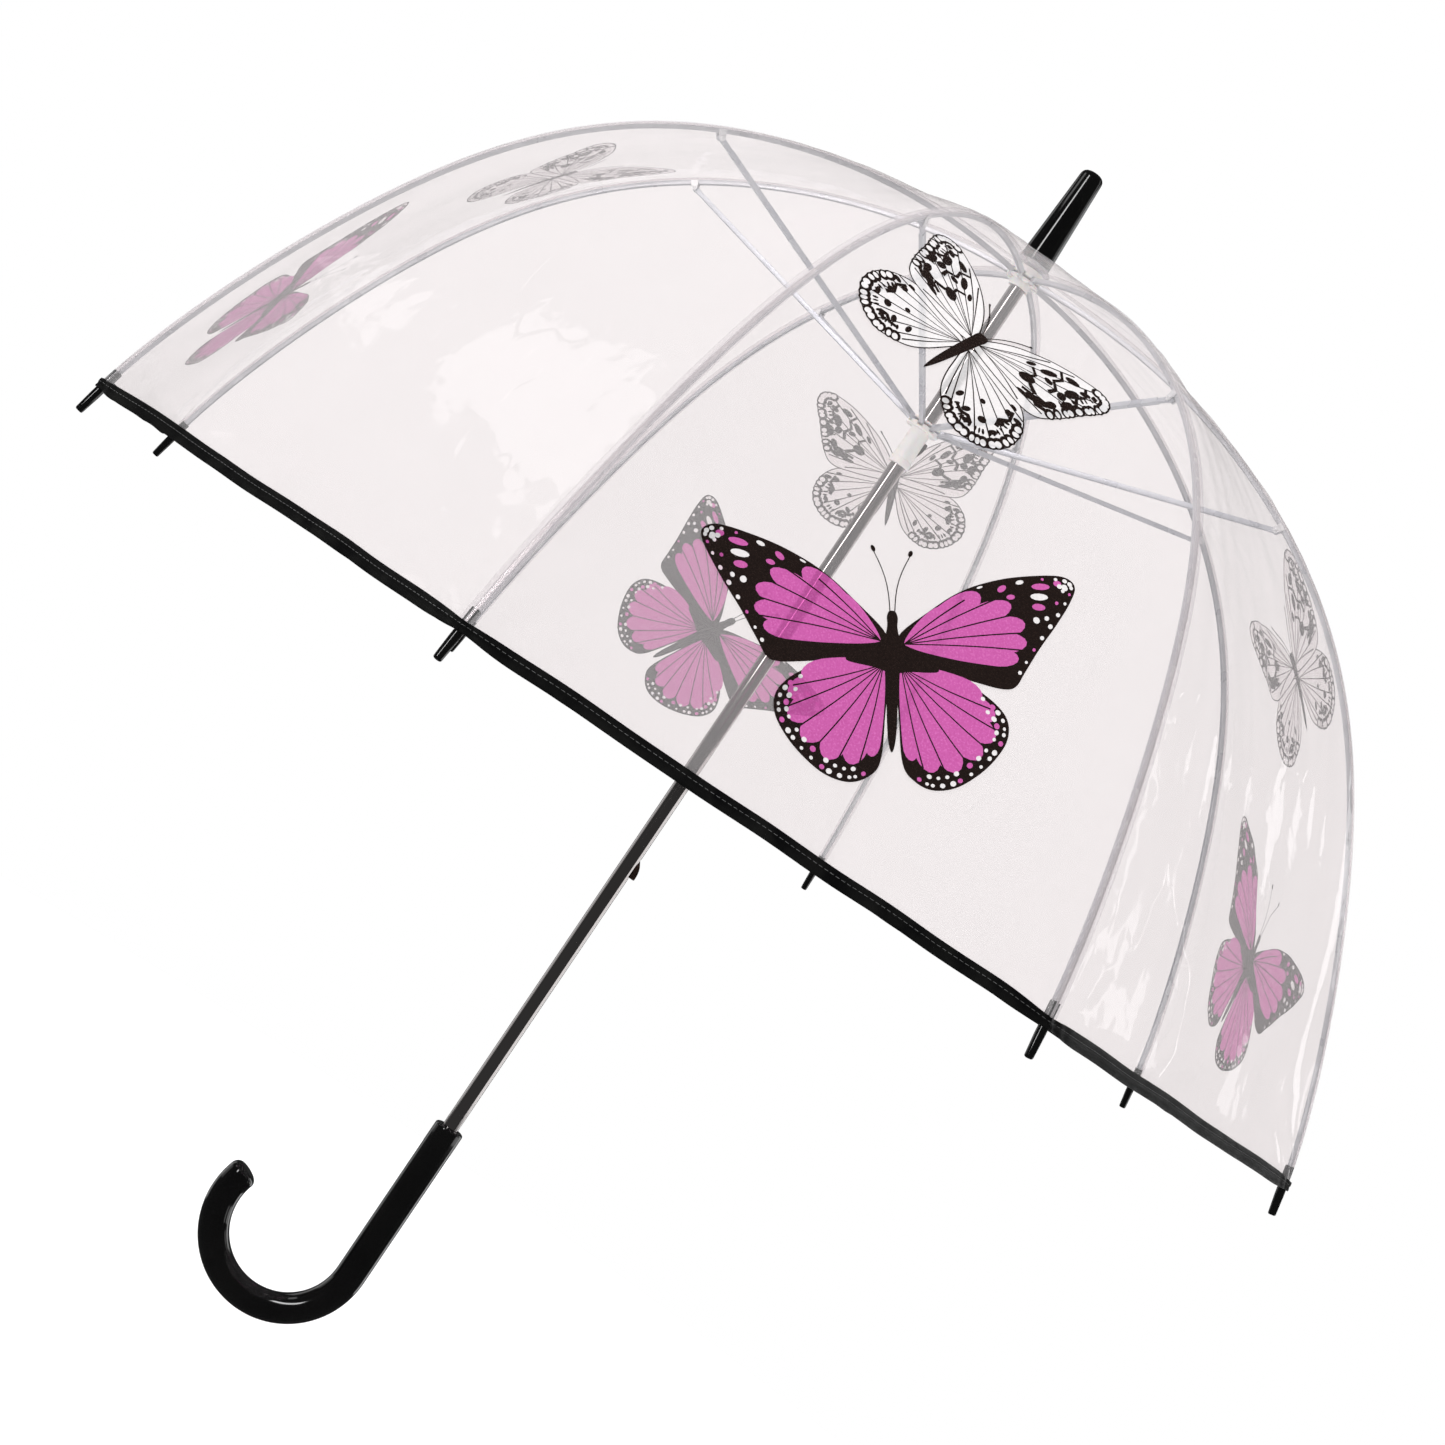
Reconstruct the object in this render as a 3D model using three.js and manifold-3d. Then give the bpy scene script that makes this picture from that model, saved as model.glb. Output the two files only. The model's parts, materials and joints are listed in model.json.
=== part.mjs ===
// Clear dome umbrella, open: eight ribs, a clear film canopy in eight gores, a sliding runner and a J handle.
// Millimetres, +Z up along the shaft. The origin is on the shaft's axis, at the handle's top face.
// The handle's hook points towards -X and the two spring catches are on the +X side of the shaft.
import * as THREE from "three";
import { mergeVertices } from "three/addons/utils/BufferGeometryUtils.js";
import Module from "manifold-3d";

const wasm = await Module();
wasm.setup();

// ---- Driving dimensions ----
const RIB_COUNT = 8;
const FIRST_RIB_DEG = -106.7; // direction of rib 1 about the shaft, from +X
const RIM_Z = 249; // height of the hem above the handle's top face
const DOME_RADIUS = 424; // outside of the film at a rib, at the hem
const DOME_HEIGHT = 378; // outside of the film at the crown, above the hem
const RIM_FLARE = 40; // draws the dome's sides in, so that they lean outwards at the hem
const CLEARANCE = 0.3; // between pieces that touch on the real object

const FILM_THICKNESS = 0.6;
const HEM_HEIGHT = 8;
const HEM_THICKNESS = 1.1;
const FILM_START_RADIUS = 8;
const SEAM_HALF_GAP = 0.25; // a gore's edge to the plane of its rib

const RIB_INSET = 4; // rib's centre line to the outside of the film
const RIB_WIDTH = 3;
const RIB_DEPTH = 2.8;
const CROWN_PIVOT_RADIUS = 8.8;
const CROWN_PIVOT_Z = RIM_Z + 370.5;
const BLEND_DEG = 20; // the rib eases from its crown pivot onto the dome's curve over this angle
const FLEX_DEG = 50; // where a rib bends as it folds, as the dome's curve angle from its top
const FLEX_GAP = 1.4;
const CLIP_DEG = 31.19; // where the stretcher's clip sits on the rib
const CLIP_DROP = 4; // stretcher pivot below the rib's centre line
const PIN_RADIUS = 0.7;
const PIN_HOLE_RADIUS = 1;
const CLIP_CHEEK = 1.1; // thickness of each side of the clip

const STRETCHER_WIDTH = 3;
const STRETCHER_DEPTH = 3;
const STRETCHER_WALL = 0.7;
const LUG_RADIUS = 1.9;
const LUG_HALF_HEIGHT = 1.4;
const CLIP_LUG_WIDTH = 2;
const CHANNEL_START = 5; // from the runner pivot to the stretcher's channel
const CHANNEL_END = 10; // from the channel to the clip pivot
const LUG_OVERLAP = 4; // how far each lug reaches into the channel

const WIRE_RADIUS = 0.5; // tie wire on which the ribs and stretchers hinge
const WIRE_HOLE_RADIUS = 0.8;
const EYELET_RADIUS = 2.1;

const SHAFT_RADIUS = 5;
const SHAFT_WALL = 0.8;
const SHAFT_IN_HANDLE = 40;
const SHAFT_IN_FERRULE = 16;
const SLIDING_FIT = 0.3; // radial play of what is threaded on the shaft

const FERRULE_BASE_Z = RIM_Z + 382;
const FERRULE_LENGTH = 67;
const FERRULE_BASE_RADIUS = 10.3;
const FERRULE_END_RADIUS = 7.4;
const FERRULE_BAND = 3; // straight part at its base
const FERRULE_ROUND = 5; // rounding of its end
const WASHER_RADIUS = 13;
const WASHER_EDGE = 1.2;

const NOTCH_RADIUS = 11;
const NOTCH_HUB_RADIUS = 6.7;
const NOTCH_GROOVE_RADIUS = 7.9;
const SLOT_WIDTH = 3.6;
const SLOT_REACH = 2.6; // from the tie wire to a slot's closed end
const CROWN_SKIRT = 4; // collar below the crown notch
const CROWN_TOP_GAP = 1.2; // crown notch to the outside of the film

const RUNNER_SLEEVE_RADIUS = 6.4;
const RUNNER_COLLAR_RADIUS = 7;
const RUNNER_COLLAR_HEIGHT = 4;
const RUNNER_TOP = 2; // from the tie wire to the runner's top
const RUNNER_FLOOR = 1; // below the runner's slots
const RUNNER_BOTTOM_Z = RIM_Z + 233.5;
const WINDOW_BOTTOM_Z = RIM_Z + 238;
const WINDOW_HEIGHT = 16;
const WINDOW_WIDTH = 2.6;

const CATCH_LENGTH = 12;
const CATCH_WIDTH = 1.6;
const CATCH_STEP = 4; // length of its outermost edge
const CATCH_REACH = 8.4; // how far from the shaft's axis a catch stands out
const CATCH_SLOT_WIDTH = 2.2;
const CATCH_SLOT_PLAY = 1;

const TIP_RADIUS = 2.6;
const TIP_BORE_RADIUS = 2;
const TIP_ROUND = 1.6;
const TANG_RADIUS = 1.4;
const TIP_COLLAR = 14; // part of the tip above the hem
const TIP_STUB = 15; // part of the tip below the hem

const HANDLE_RADIUS = 9.4;
const HANDLE_STRAIGHT = 106;
const HOOK_RADIUS = 45; // to the centre line of the hook
const HOOK_SWEEP_DEG = 191;

const FOLD_DEG = 62; // how far a rib turns when the umbrella closes

// ---- Dimensions that follow from those ----
const RIB_RADIUS = DOME_RADIUS - RIB_INSET;
const RIB_HEIGHT = DOME_HEIGHT - RIB_INSET;
const RIB_STEP = (2 * Math.PI) / RIB_COUNT;
const HALF_GORE = RIB_STEP / 2;
const FIRST_RIB = THREE.MathUtils.degToRad(FIRST_RIB_DEG);
const SHAFT_HOLE_RADIUS = SHAFT_RADIUS + SLIDING_FIT;
const crownAngle = Math.asin(CROWN_PIVOT_RADIUS / RIB_RADIUS);
const crownDrop = RIM_Z + RIB_HEIGHT * Math.cos(crownAngle) - CROWN_PIVOT_Z;
const flexAngle = THREE.MathUtils.degToRad(FLEX_DEG);
const clipAngle = THREE.MathUtils.degToRad(CLIP_DEG);
const tipLean = Math.atan2(2 * RIM_FLARE, RIB_HEIGHT); // a rib's lean at the hem

// The distance from the dome's axis at an angle from its top, for a curve of a given radius at the hem.
function reach(radius, angle) {
  return radius * Math.sin(angle) - RIM_FLARE * Math.sin(2 * angle) * Math.sin(angle) ** 4;
}

// A point of a rib's centre line, at an angle from the dome's top, in the rib's own radial plane.
function ribPoint(angle) {
  const ease = Math.max(0, 1 - angle / THREE.MathUtils.degToRad(BLEND_DEG)) ** 2;
  const z = RIM_Z + RIB_HEIGHT * Math.cos(angle) - crownDrop * ease;
  return new THREE.Vector3(reach(RIB_RADIUS, angle), 0, z);
}

// The direction straight out of the dome at that angle.
function ribNormal(angle) {
  const [sine, cosine] = [Math.sin(angle), Math.cos(angle)];
  const drawnIn = RIM_FLARE * sine ** 4 * (2 * Math.cos(2 * angle) + 8 * cosine ** 2);
  return new THREE.Vector3(RIB_HEIGHT * sine, 0, RIB_RADIUS * cosine - drawnIn).normalize();
}

const crownPivot = new THREE.Vector3(CROWN_PIVOT_RADIUS, 0, CROWN_PIVOT_Z);
const clipPivot = ribPoint(clipAngle).addScaledVector(ribNormal(clipAngle), -CLIP_DROP);
// Crown, clip and runner pivots make a triangle with two equal sides, so that the runner slides straight.
const runnerPivot = new THREE.Vector3(CROWN_PIVOT_RADIUS, 0, 2 * clipPivot.z - crownPivot.z);
const stretcherLength = clipPivot.distanceTo(runnerPivot);
const openAngle = Math.asin((clipPivot.z - runnerPivot.z) / stretcherLength);
const closedAngle = openAngle + THREE.MathUtils.degToRad(FOLD_DEG);
const runnerTravel = 2 * stretcherLength * (Math.sin(closedAngle) - Math.sin(openAngle));

const topCatchZ = WINDOW_BOTTOM_Z + WINDOW_HEIGHT - CLEARANCE - CATCH_LENGTH;
const bottomCatchZ = WINDOW_BOTTOM_Z + 2 * CLEARANCE - runnerTravel;

// ---- Materials ----
const material = (color, roughness, metalness = 0) =>
  new THREE.MeshStandardMaterial({ color, roughness, metalness });

const chrome = material(0xc8c8c8, 0.15, 1);
const ribSteel = material(0xe4e4e2, 0.35, 0.6);
const wireSteel = material(0xa8a8a8, 0.3, 1);
const blackPlastic = material(0x0c0c0d, 0.2);
const whitePlastic = material(0xeceae6, 0.4);
const clearPlastic = material(0xe6e6e8, 0.15);
const clearFilm = material(0xeeeaec, 0.1);
const brownSteel = material(0x2a1c18, 0.35, 0.6);

// ---- Solids ----
function solid(geometry) {
  const plain = geometry.index ? geometry.toNonIndexed() : geometry.clone();
  plain.deleteAttribute("normal");
  plain.deleteAttribute("uv");
  const merged = mergeVertices(plain, 1e-4);
  const vertProperties = Float32Array.from(merged.attributes.position.array);
  const triVerts = Uint32Array.from(merged.index.array);
  return new wasm.Manifold(new wasm.Mesh({ numProp: 3, vertProperties, triVerts }));
}

function geometryOf(manifold) {
  const mesh = manifold.getMesh();
  const geometry = new THREE.BufferGeometry();
  geometry.setAttribute("position", new THREE.BufferAttribute(mesh.vertProperties, 3));
  geometry.setIndex(new THREE.BufferAttribute(mesh.triVerts, 1));
  return geometry;
}

function joined(geometries, cuts = []) {
  const whole = geometries.map(solid).reduce((sum, next) => sum.add(next));
  return geometryOf(cuts.map(solid).reduce((rest, cut) => rest.subtract(cut), whole));
}

// A round bar along the tangent of the dome, such as a hinge pin at a point of a radial plane.
function crossBar(radius, length, at, sides = 10) {
  return new THREE.CylinderGeometry(radius, radius, length, sides).translate(at.x, 0, at.z);
}

// A turned piece about the shaft's axis, from corners given as [radius, height] going round its section.
function turned(corners, sides, closed = true) {
  const points = corners.map(([radius, height]) => new THREE.Vector2(radius, height));
  if (closed) points.push(points[0].clone());
  return new THREE.LatheGeometry(points, sides).rotateX(Math.PI / 2);
}

// A plate cut from a shape drawn in a radial plane, centred on that plane.
function plate(shape, thickness) {
  const options = { depth: thickness, bevelEnabled: false, curveSegments: 5 };
  const geometry = new THREE.ExtrudeGeometry(shape, options);
  return geometry.rotateX(Math.PI / 2).translate(0, thickness / 2, 0);
}

// A bar with a flat underside and its upper corners cut, swept along a curve of a radial plane.
function sweptBar(curve, width, depth, steps) {
  const [w, d, cut] = [width / 2, depth / 2, depth / 4];
  const corners = [[w, -d], [w, d - cut], [w - cut, d], [cut - w, d], [-w, d - cut], [-w, -d]];
  // the sweep turns a shape's x axis onto the tangent of the dome and its y axis across the curve
  const shape = new THREE.Shape(corners.map(([x, y]) => new THREE.Vector2(x, y)));
  return new THREE.ExtrudeGeometry(shape, { steps, extrudePath: curve, curveSegments: 1 });
}

class RibCurve extends THREE.Curve {
  constructor(start, end) {
    super();
    this.start = start;
    this.end = end;
  }

  getPoint(t, target = new THREE.Vector3()) {
    return target.copy(ribPoint(THREE.MathUtils.lerp(this.start, this.end, t)));
  }
}

// The handle's centre line: straight down from its top, then round the hook.
class HandleCurve extends THREE.Curve {
  getPoint(t, target = new THREE.Vector3()) {
    const sweep = THREE.MathUtils.degToRad(HOOK_SWEEP_DEG);
    const along = t * (HANDLE_STRAIGHT + HOOK_RADIUS * sweep);
    if (along < HANDLE_STRAIGHT) return target.set(0, 0, -along);
    const turn = (along - HANDLE_STRAIGHT) / HOOK_RADIUS;
    return target.set(
      HOOK_RADIUS * (Math.cos(turn) - 1), 0, -HANDLE_STRAIGHT - HOOK_RADIUS * Math.sin(turn));
  }
}

// ---- Pieces on the shaft ----
function shaftTube() {
  const bottom = -SHAFT_IN_HANDLE;
  const top = FERRULE_BASE_Z + SHAFT_IN_FERRULE;
  const inner = SHAFT_RADIUS - SHAFT_WALL;
  const tube = turned([[inner, bottom], [SHAFT_RADIUS, bottom], [SHAFT_RADIUS, top], [inner, top]], 24);
  const slots = [topCatchZ, bottomCatchZ].map((z) => {
    const height = CATCH_LENGTH + 2 * CATCH_SLOT_PLAY;
    return new THREE.BoxGeometry(SHAFT_RADIUS, CATCH_SLOT_WIDTH, height)
      .translate(SHAFT_RADIUS, 0, z + CATCH_LENGTH / 2);
  });
  return joined([tube], slots);
}

// The catch stands out furthest at its holding step, and slopes back into the shaft at its other end.
function springCatch(stepAtTop) {
  const shape = new THREE.Shape();
  shape.moveTo(0, 0);
  shape.lineTo(SHAFT_RADIUS, 0);
  shape.lineTo(CATCH_REACH, CATCH_LENGTH - CATCH_STEP);
  shape.lineTo(CATCH_REACH, CATCH_LENGTH);
  shape.lineTo(0, CATCH_LENGTH);
  shape.closePath();
  // a plate's shape has its y axis up, so the step starts at the top
  const geometry = plate(shape, CATCH_WIDTH);
  return stepAtTop ? geometry : geometry.rotateX(Math.PI).translate(0, 0, CATCH_LENGTH);
}

function ferrule() {
  const top = FERRULE_BASE_Z + FERRULE_LENGTH;
  const boreTop = FERRULE_BASE_Z + SHAFT_IN_FERRULE + CLEARANCE;
  const corners = [[0, boreTop], [SHAFT_HOLE_RADIUS, boreTop], [SHAFT_HOLE_RADIUS, FERRULE_BASE_Z],
    [FERRULE_BASE_RADIUS, FERRULE_BASE_Z], [FERRULE_BASE_RADIUS, FERRULE_BASE_Z + FERRULE_BAND]];
  for (let turn = 0; turn <= 90; turn += 30) {
    const angle = THREE.MathUtils.degToRad(turn);
    const inwards = FERRULE_ROUND * (1 - Math.cos(angle));
    corners.push([FERRULE_END_RADIUS - inwards, top - FERRULE_ROUND * (1 - Math.sin(angle))]);
  }
  corners.push([0, top]);
  return turned(corners, 20, false);
}

function capWasher() {
  const [bottom, top] = [RIM_Z + DOME_HEIGHT + CLEARANCE, FERRULE_BASE_Z - CLEARANCE];
  return turned([[SHAFT_HOLE_RADIUS, bottom], [WASHER_RADIUS, bottom], [WASHER_RADIUS, bottom + WASHER_EDGE],
    [FERRULE_BASE_RADIUS, top], [SHAFT_HOLE_RADIUS, top]], 20);
}

// Eight radial slots, cut outwards from just past the hub.
function radialSlots(bottom, top) {
  return Array.from({ length: RIB_COUNT }, (_, rib) => {
    const length = NOTCH_RADIUS;
    return new THREE.BoxGeometry(length, SLOT_WIDTH, top - bottom)
      .translate(NOTCH_HUB_RADIUS + length / 2, 0, (bottom + top) / 2)
      .rotateZ(FIRST_RIB + rib * RIB_STEP);
  });
}

// A grooved disc that holds the tie wire, from a bottom to a top height, with the wire at the pivot's height.
function groovedRim(pivotZ, bottom, top) {
  const half = WIRE_HOLE_RADIUS;
  return [[NOTCH_RADIUS, bottom], [NOTCH_RADIUS, pivotZ - half], [NOTCH_GROOVE_RADIUS, pivotZ - half],
    [NOTCH_GROOVE_RADIUS, pivotZ + half], [NOTCH_RADIUS, pivotZ + half], [NOTCH_RADIUS, top]];
}

function crownNotch() {
  const [bottom, roof] = [CROWN_PIVOT_Z - SLOT_REACH, CROWN_PIVOT_Z + SLOT_REACH];
  const top = RIM_Z + DOME_HEIGHT - CROWN_TOP_GAP;
  const skirt = bottom - CROWN_SKIRT;
  const disc = turned([[SHAFT_HOLE_RADIUS, skirt], [NOTCH_HUB_RADIUS, skirt], [NOTCH_HUB_RADIUS, bottom],
    ...groovedRim(CROWN_PIVOT_Z, bottom, top), [SHAFT_HOLE_RADIUS, top]], 24);
  return joined([disc], radialSlots(bottom - 1, roof));
}

function runner() {
  const pivotZ = runnerPivot.z;
  const [floor, top] = [pivotZ - SLOT_REACH, pivotZ + RUNNER_TOP];
  const bottom = floor - RUNNER_FLOOR;
  const collarTop = RUNNER_BOTTOM_Z + RUNNER_COLLAR_HEIGHT;
  const body = turned([[SHAFT_HOLE_RADIUS, RUNNER_BOTTOM_Z], [RUNNER_COLLAR_RADIUS, RUNNER_BOTTOM_Z],
    [RUNNER_COLLAR_RADIUS, collarTop], [RUNNER_SLEEVE_RADIUS, collarTop], [RUNNER_SLEEVE_RADIUS, bottom],
    ...groovedRim(pivotZ, bottom, top), [SHAFT_HOLE_RADIUS, top]], 24);
  const depth = RUNNER_COLLAR_RADIUS;
  const window = new THREE.BoxGeometry(depth, WINDOW_WIDTH, WINDOW_HEIGHT)
    .translate(SHAFT_RADIUS + depth / 2 - CLEARANCE, 0, WINDOW_BOTTOM_Z + WINDOW_HEIGHT / 2);
  return joined([body], [window, ...radialSlots(floor, top + 1)]);
}

function tieWire(z) {
  const ring = new THREE.TorusGeometry(CROWN_PIVOT_RADIUS, WIRE_RADIUS, 5, 24);
  return ring.rotateZ(FIRST_RIB).translate(0, 0, z);
}

function handle() {
  const circle = new THREE.Shape().absarc(0, 0, HANDLE_RADIUS, 0, 2 * Math.PI);
  const path = new HandleCurve();
  const bar = new THREE.ExtrudeGeometry(circle, { steps: 18, extrudePath: path, curveSegments: 6 });
  const end = path.getPoint(1);
  const roundEnd = new THREE.SphereGeometry(HANDLE_RADIUS, 12, 6).translate(end.x, 0, end.z);
  const depth = SHAFT_IN_HANDLE + CLEARANCE;
  const bore = new THREE.CylinderGeometry(SHAFT_HOLE_RADIUS, SHAFT_HOLE_RADIUS, 2 * depth, 20);
  return joined([bar, roundEnd], [bore.rotateX(Math.PI / 2)]);
}

// ---- Pieces of one rib, in its radial plane ----
function ribInner() {
  const gapAngle = FLEX_GAP / 2 / RIB_RADIUS;
  const start = 1.1 * crownAngle; // just past the crown pivot
  const bar = sweptBar(new RibCurve(start, flexAngle - gapAngle), RIB_WIDTH, RIB_DEPTH, 9);
  const eyelet = crossBar(EYELET_RADIUS, RIB_WIDTH, crownPivot);
  const wireHole = crossBar(WIRE_HOLE_RADIUS, RIB_WIDTH + 2, crownPivot, 8);
  const normal = ribNormal(clipAngle);
  const turn = Math.atan2(normal.z, normal.x);
  const foot = ribPoint(clipAngle);
  const cheek = new THREE.Shape();
  const across = new THREE.Vector2(normal.z, -normal.x).multiplyScalar(LUG_RADIUS);
  cheek.moveTo(foot.x + across.x, foot.z + across.y);
  cheek.lineTo(foot.x - across.x, foot.z - across.y);
  cheek.absarc(clipPivot.x, clipPivot.z, LUG_RADIUS, turn + Math.PI / 2, turn + 1.5 * Math.PI);
  cheek.closePath();
  const side = (CLIP_LUG_WIDTH + CLIP_CHEEK) / 2 + CLEARANCE;
  const cheeks = [-side, side].map((y) => plate(cheek, CLIP_CHEEK).translate(0, y, 0));
  const pin = crossBar(PIN_RADIUS, 2 * side + CLIP_CHEEK / 2, clipPivot, 8);
  return joined([bar, eyelet, ...cheeks, pin], [wireHole]);
}

// Leans a piece drawn about the shaft's axis with its origin at the hem, and moves it to the rib's end.
function atRibEnd(geometry) {
  return geometry.rotateY(-tipLean).translate(RIB_RADIUS, 0, RIM_Z);
}

// The outer length ends in a round tang, which the tip's bore takes.
function ribOuter() {
  const gapAngle = FLEX_GAP / 2 / RIB_RADIUS;
  const shoulder = TIP_COLLAR + CLEARANCE;
  const end = Math.acos(shoulder * Math.cos(tipLean) / RIB_HEIGHT);
  const bar = sweptBar(new RibCurve(flexAngle + gapAngle, end), RIB_WIDTH, RIB_DEPTH, 7);
  const length = shoulder + RIB_DEPTH;
  const tang = new THREE.CylinderGeometry(TANG_RADIUS, TANG_RADIUS, length, 8)
    .rotateX(Math.PI / 2).translate(0, 0, length / 2);
  return joined([bar, atRibEnd(tang)]);
}

function ribTip() {
  const floor = -2 * CLEARANCE;
  return atRibEnd(turned([[0, -TIP_STUB], [TIP_RADIUS - TIP_ROUND, -TIP_STUB],
    [TIP_RADIUS, TIP_ROUND - TIP_STUB], [TIP_RADIUS, TIP_COLLAR], [TIP_BORE_RADIUS, TIP_COLLAR],
    [TIP_BORE_RADIUS, floor], [0, floor]], 10, false));
}

// A thin channel with a lug at each end, along +X from its runner pivot.
function stretcher() {
  const [w, d, wall] = [STRETCHER_WIDTH / 2, STRETCHER_DEPTH / 2, STRETCHER_WALL];
  const section = new THREE.Shape([[-w, -d], [w, -d], [w, d], [w - wall, d], [w - wall, wall - d],
    [wall - w, wall - d], [wall - w, d], [-w, d]].map(([y, z]) => new THREE.Vector2(y, z)));
  const [start, end] = [CHANNEL_START, stretcherLength - CHANNEL_END];
  const channel = new THREE.ExtrudeGeometry(section, { depth: end - start, bevelEnabled: false })
    .rotateZ(Math.PI / 2).rotateY(Math.PI / 2).translate(start, 0, 0);
  const lug = (from, to, width) =>
    new THREE.BoxGeometry(to - from, width, 2 * LUG_HALF_HEIGHT).translate((from + to) / 2, 0, 0);
  const far = new THREE.Vector3(stretcherLength, 0, 0);
  const near = new THREE.Vector3(0, 0, 0);
  const lugs = [lug(0, start + LUG_OVERLAP, STRETCHER_WIDTH),
    lug(end - LUG_OVERLAP, stretcherLength, CLIP_LUG_WIDTH)];
  const eyes = [crossBar(LUG_RADIUS, STRETCHER_WIDTH, near), crossBar(LUG_RADIUS, CLIP_LUG_WIDTH, far)];
  const holes = [crossBar(WIRE_HOLE_RADIUS, 2 * STRETCHER_WIDTH, near, 8),
    crossBar(PIN_HOLE_RADIUS, 2 * STRETCHER_WIDTH, far, 8)];
  return joined([channel, ...lugs, ...eyes], holes);
}

// ---- One gore of the film, flat between its two ribs, about the radial plane midway between them ----
// One edge of the film's section at an angle from the top: two points, one near each rib.
function goreEdge(angle, proud) {
  const atRib = reach(DOME_RADIUS + proud, angle);
  const z = RIM_Z + (DOME_HEIGHT + proud) * Math.cos(angle);
  const half = atRib * Math.sin(HALF_GORE) - SEAM_HALF_GAP / Math.cos(HALF_GORE);
  return [-half, half].map((y) => new THREE.Vector3(atRib * Math.cos(HALF_GORE), y, z));
}

// A closed body through rings of four points, each ring [outer left, outer right, inner right, inner left].
function loft(rings) {
  const positions = rings.flat().flatMap((point) => point.toArray());
  const index = [0, 1, 2, 0, 2, 3];
  for (let ring = 0; ring < rings.length - 1; ring += 1) {
    for (let side = 0; side < 4; side += 1) {
      const [a, b] = [4 * ring + side, 4 * ring + ((side + 1) % 4)];
      index.push(a, a + 4, b, b, a + 4, b + 4);
    }
  }
  const last = 4 * (rings.length - 1);
  index.push(last, last + 2, last + 1, last, last + 3, last + 2);
  const geometry = new THREE.BufferGeometry();
  geometry.setAttribute("position", new THREE.BufferAttribute(new Float32Array(positions), 3));
  geometry.setIndex(index);
  return geometry;
}

function goreRing(angle, proud = 0) {
  const [outerLeft, outerRight] = goreEdge(angle, proud);
  const [innerLeft, innerRight] = goreEdge(angle, -FILM_THICKNESS);
  return [outerLeft, outerRight, innerRight, innerLeft];
}

function goreInner() {
  const start = Math.asin(FILM_START_RADIUS / DOME_RADIUS);
  const end = flexAngle - CLEARANCE / DOME_RADIUS;
  const steps = 8;
  return loft(Array.from({ length: steps + 1 }, (_, i) =>
    goreRing(THREE.MathUtils.lerp(start, end, i / steps))));
}

function goreOuter() {
  const start = flexAngle + CLEARANCE / DOME_RADIUS;
  const hemAngle = Math.PI / 2 - HEM_HEIGHT / DOME_HEIGHT;
  const step = (HEM_THICKNESS - FILM_THICKNESS) / DOME_HEIGHT;
  const steps = 6;
  const rings = Array.from({ length: steps + 1 }, (_, i) =>
    goreRing(THREE.MathUtils.lerp(start, hemAngle - step, i / steps)));
  rings.push(goreRing(hemAngle, HEM_THICKNESS - FILM_THICKNESS));
  rings.push(goreRing(Math.PI / 2, HEM_THICKNESS - FILM_THICKNESS));
  return loft(rings);
}

// ---- Assembly ----
function piece(name, geometry, finish) {
  const mesh = new THREE.Mesh(geometry, finish);
  mesh.name = name;
  return mesh;
}

function shaftGroup() {
  const group = new THREE.Group();
  const topCatch = piece("top_catch", springCatch(true), brownSteel);
  const bottomCatch = piece("bottom_catch", springCatch(false), brownSteel);
  topCatch.position.z = topCatchZ;
  bottomCatch.position.z = bottomCatchZ;
  group.add(
    piece("shaft", shaftTube(), chrome),
    piece("handle", handle(), blackPlastic),
    piece("ferrule", ferrule(), blackPlastic),
    piece("cap_washer", capWasher(), clearPlastic),
    piece("crown_notch", crownNotch(), whitePlastic),
    piece("crown_wire", tieWire(CROWN_PIVOT_Z), wireSteel),
    piece("runner", runner(), whitePlastic),
    piece("runner_wire", tieWire(runnerPivot.z), wireSteel),
    topCatch,
    bottomCatch,
  );
  return group;
}

function ribGroup(number) {
  const group = new THREE.Group();
  const strut = piece(`stretcher_${number}`, stretcher(), ribSteel);
  strut.position.copy(runnerPivot);
  strut.rotation.y = -openAngle;
  group.add(
    piece(`rib_inner_${number}`, ribInner(), ribSteel),
    piece(`rib_outer_${number}`, ribOuter(), ribSteel),
    piece(`tip_${number}`, ribTip(), blackPlastic),
    strut,
  );
  group.rotation.z = FIRST_RIB + (number - 1) * RIB_STEP;
  return group;
}

function goreGroup(number) {
  const group = new THREE.Group();
  group.add(
    piece(`gore_inner_${number}`, goreInner(), clearFilm),
    piece(`gore_outer_${number}`, goreOuter(), clearFilm),
  );
  group.rotation.z = FIRST_RIB + (number - 0.5) * RIB_STEP;
  return group;
}

const umbrella = new THREE.Group();
umbrella.add(shaftGroup());
for (let number = 1; number <= RIB_COUNT; number += 1) {
  umbrella.add(ribGroup(number), goreGroup(number));
}

export default umbrella;
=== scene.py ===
import json
from math import acos, asin, atan2, copysign, cos, degrees, exp, hypot, pi, radians, sin, sqrt, tan

import bmesh
import bpy
import numpy as np
from mathutils import Matrix, Vector, noise
from mathutils.geometry import delaunay_2d_cdt


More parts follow.
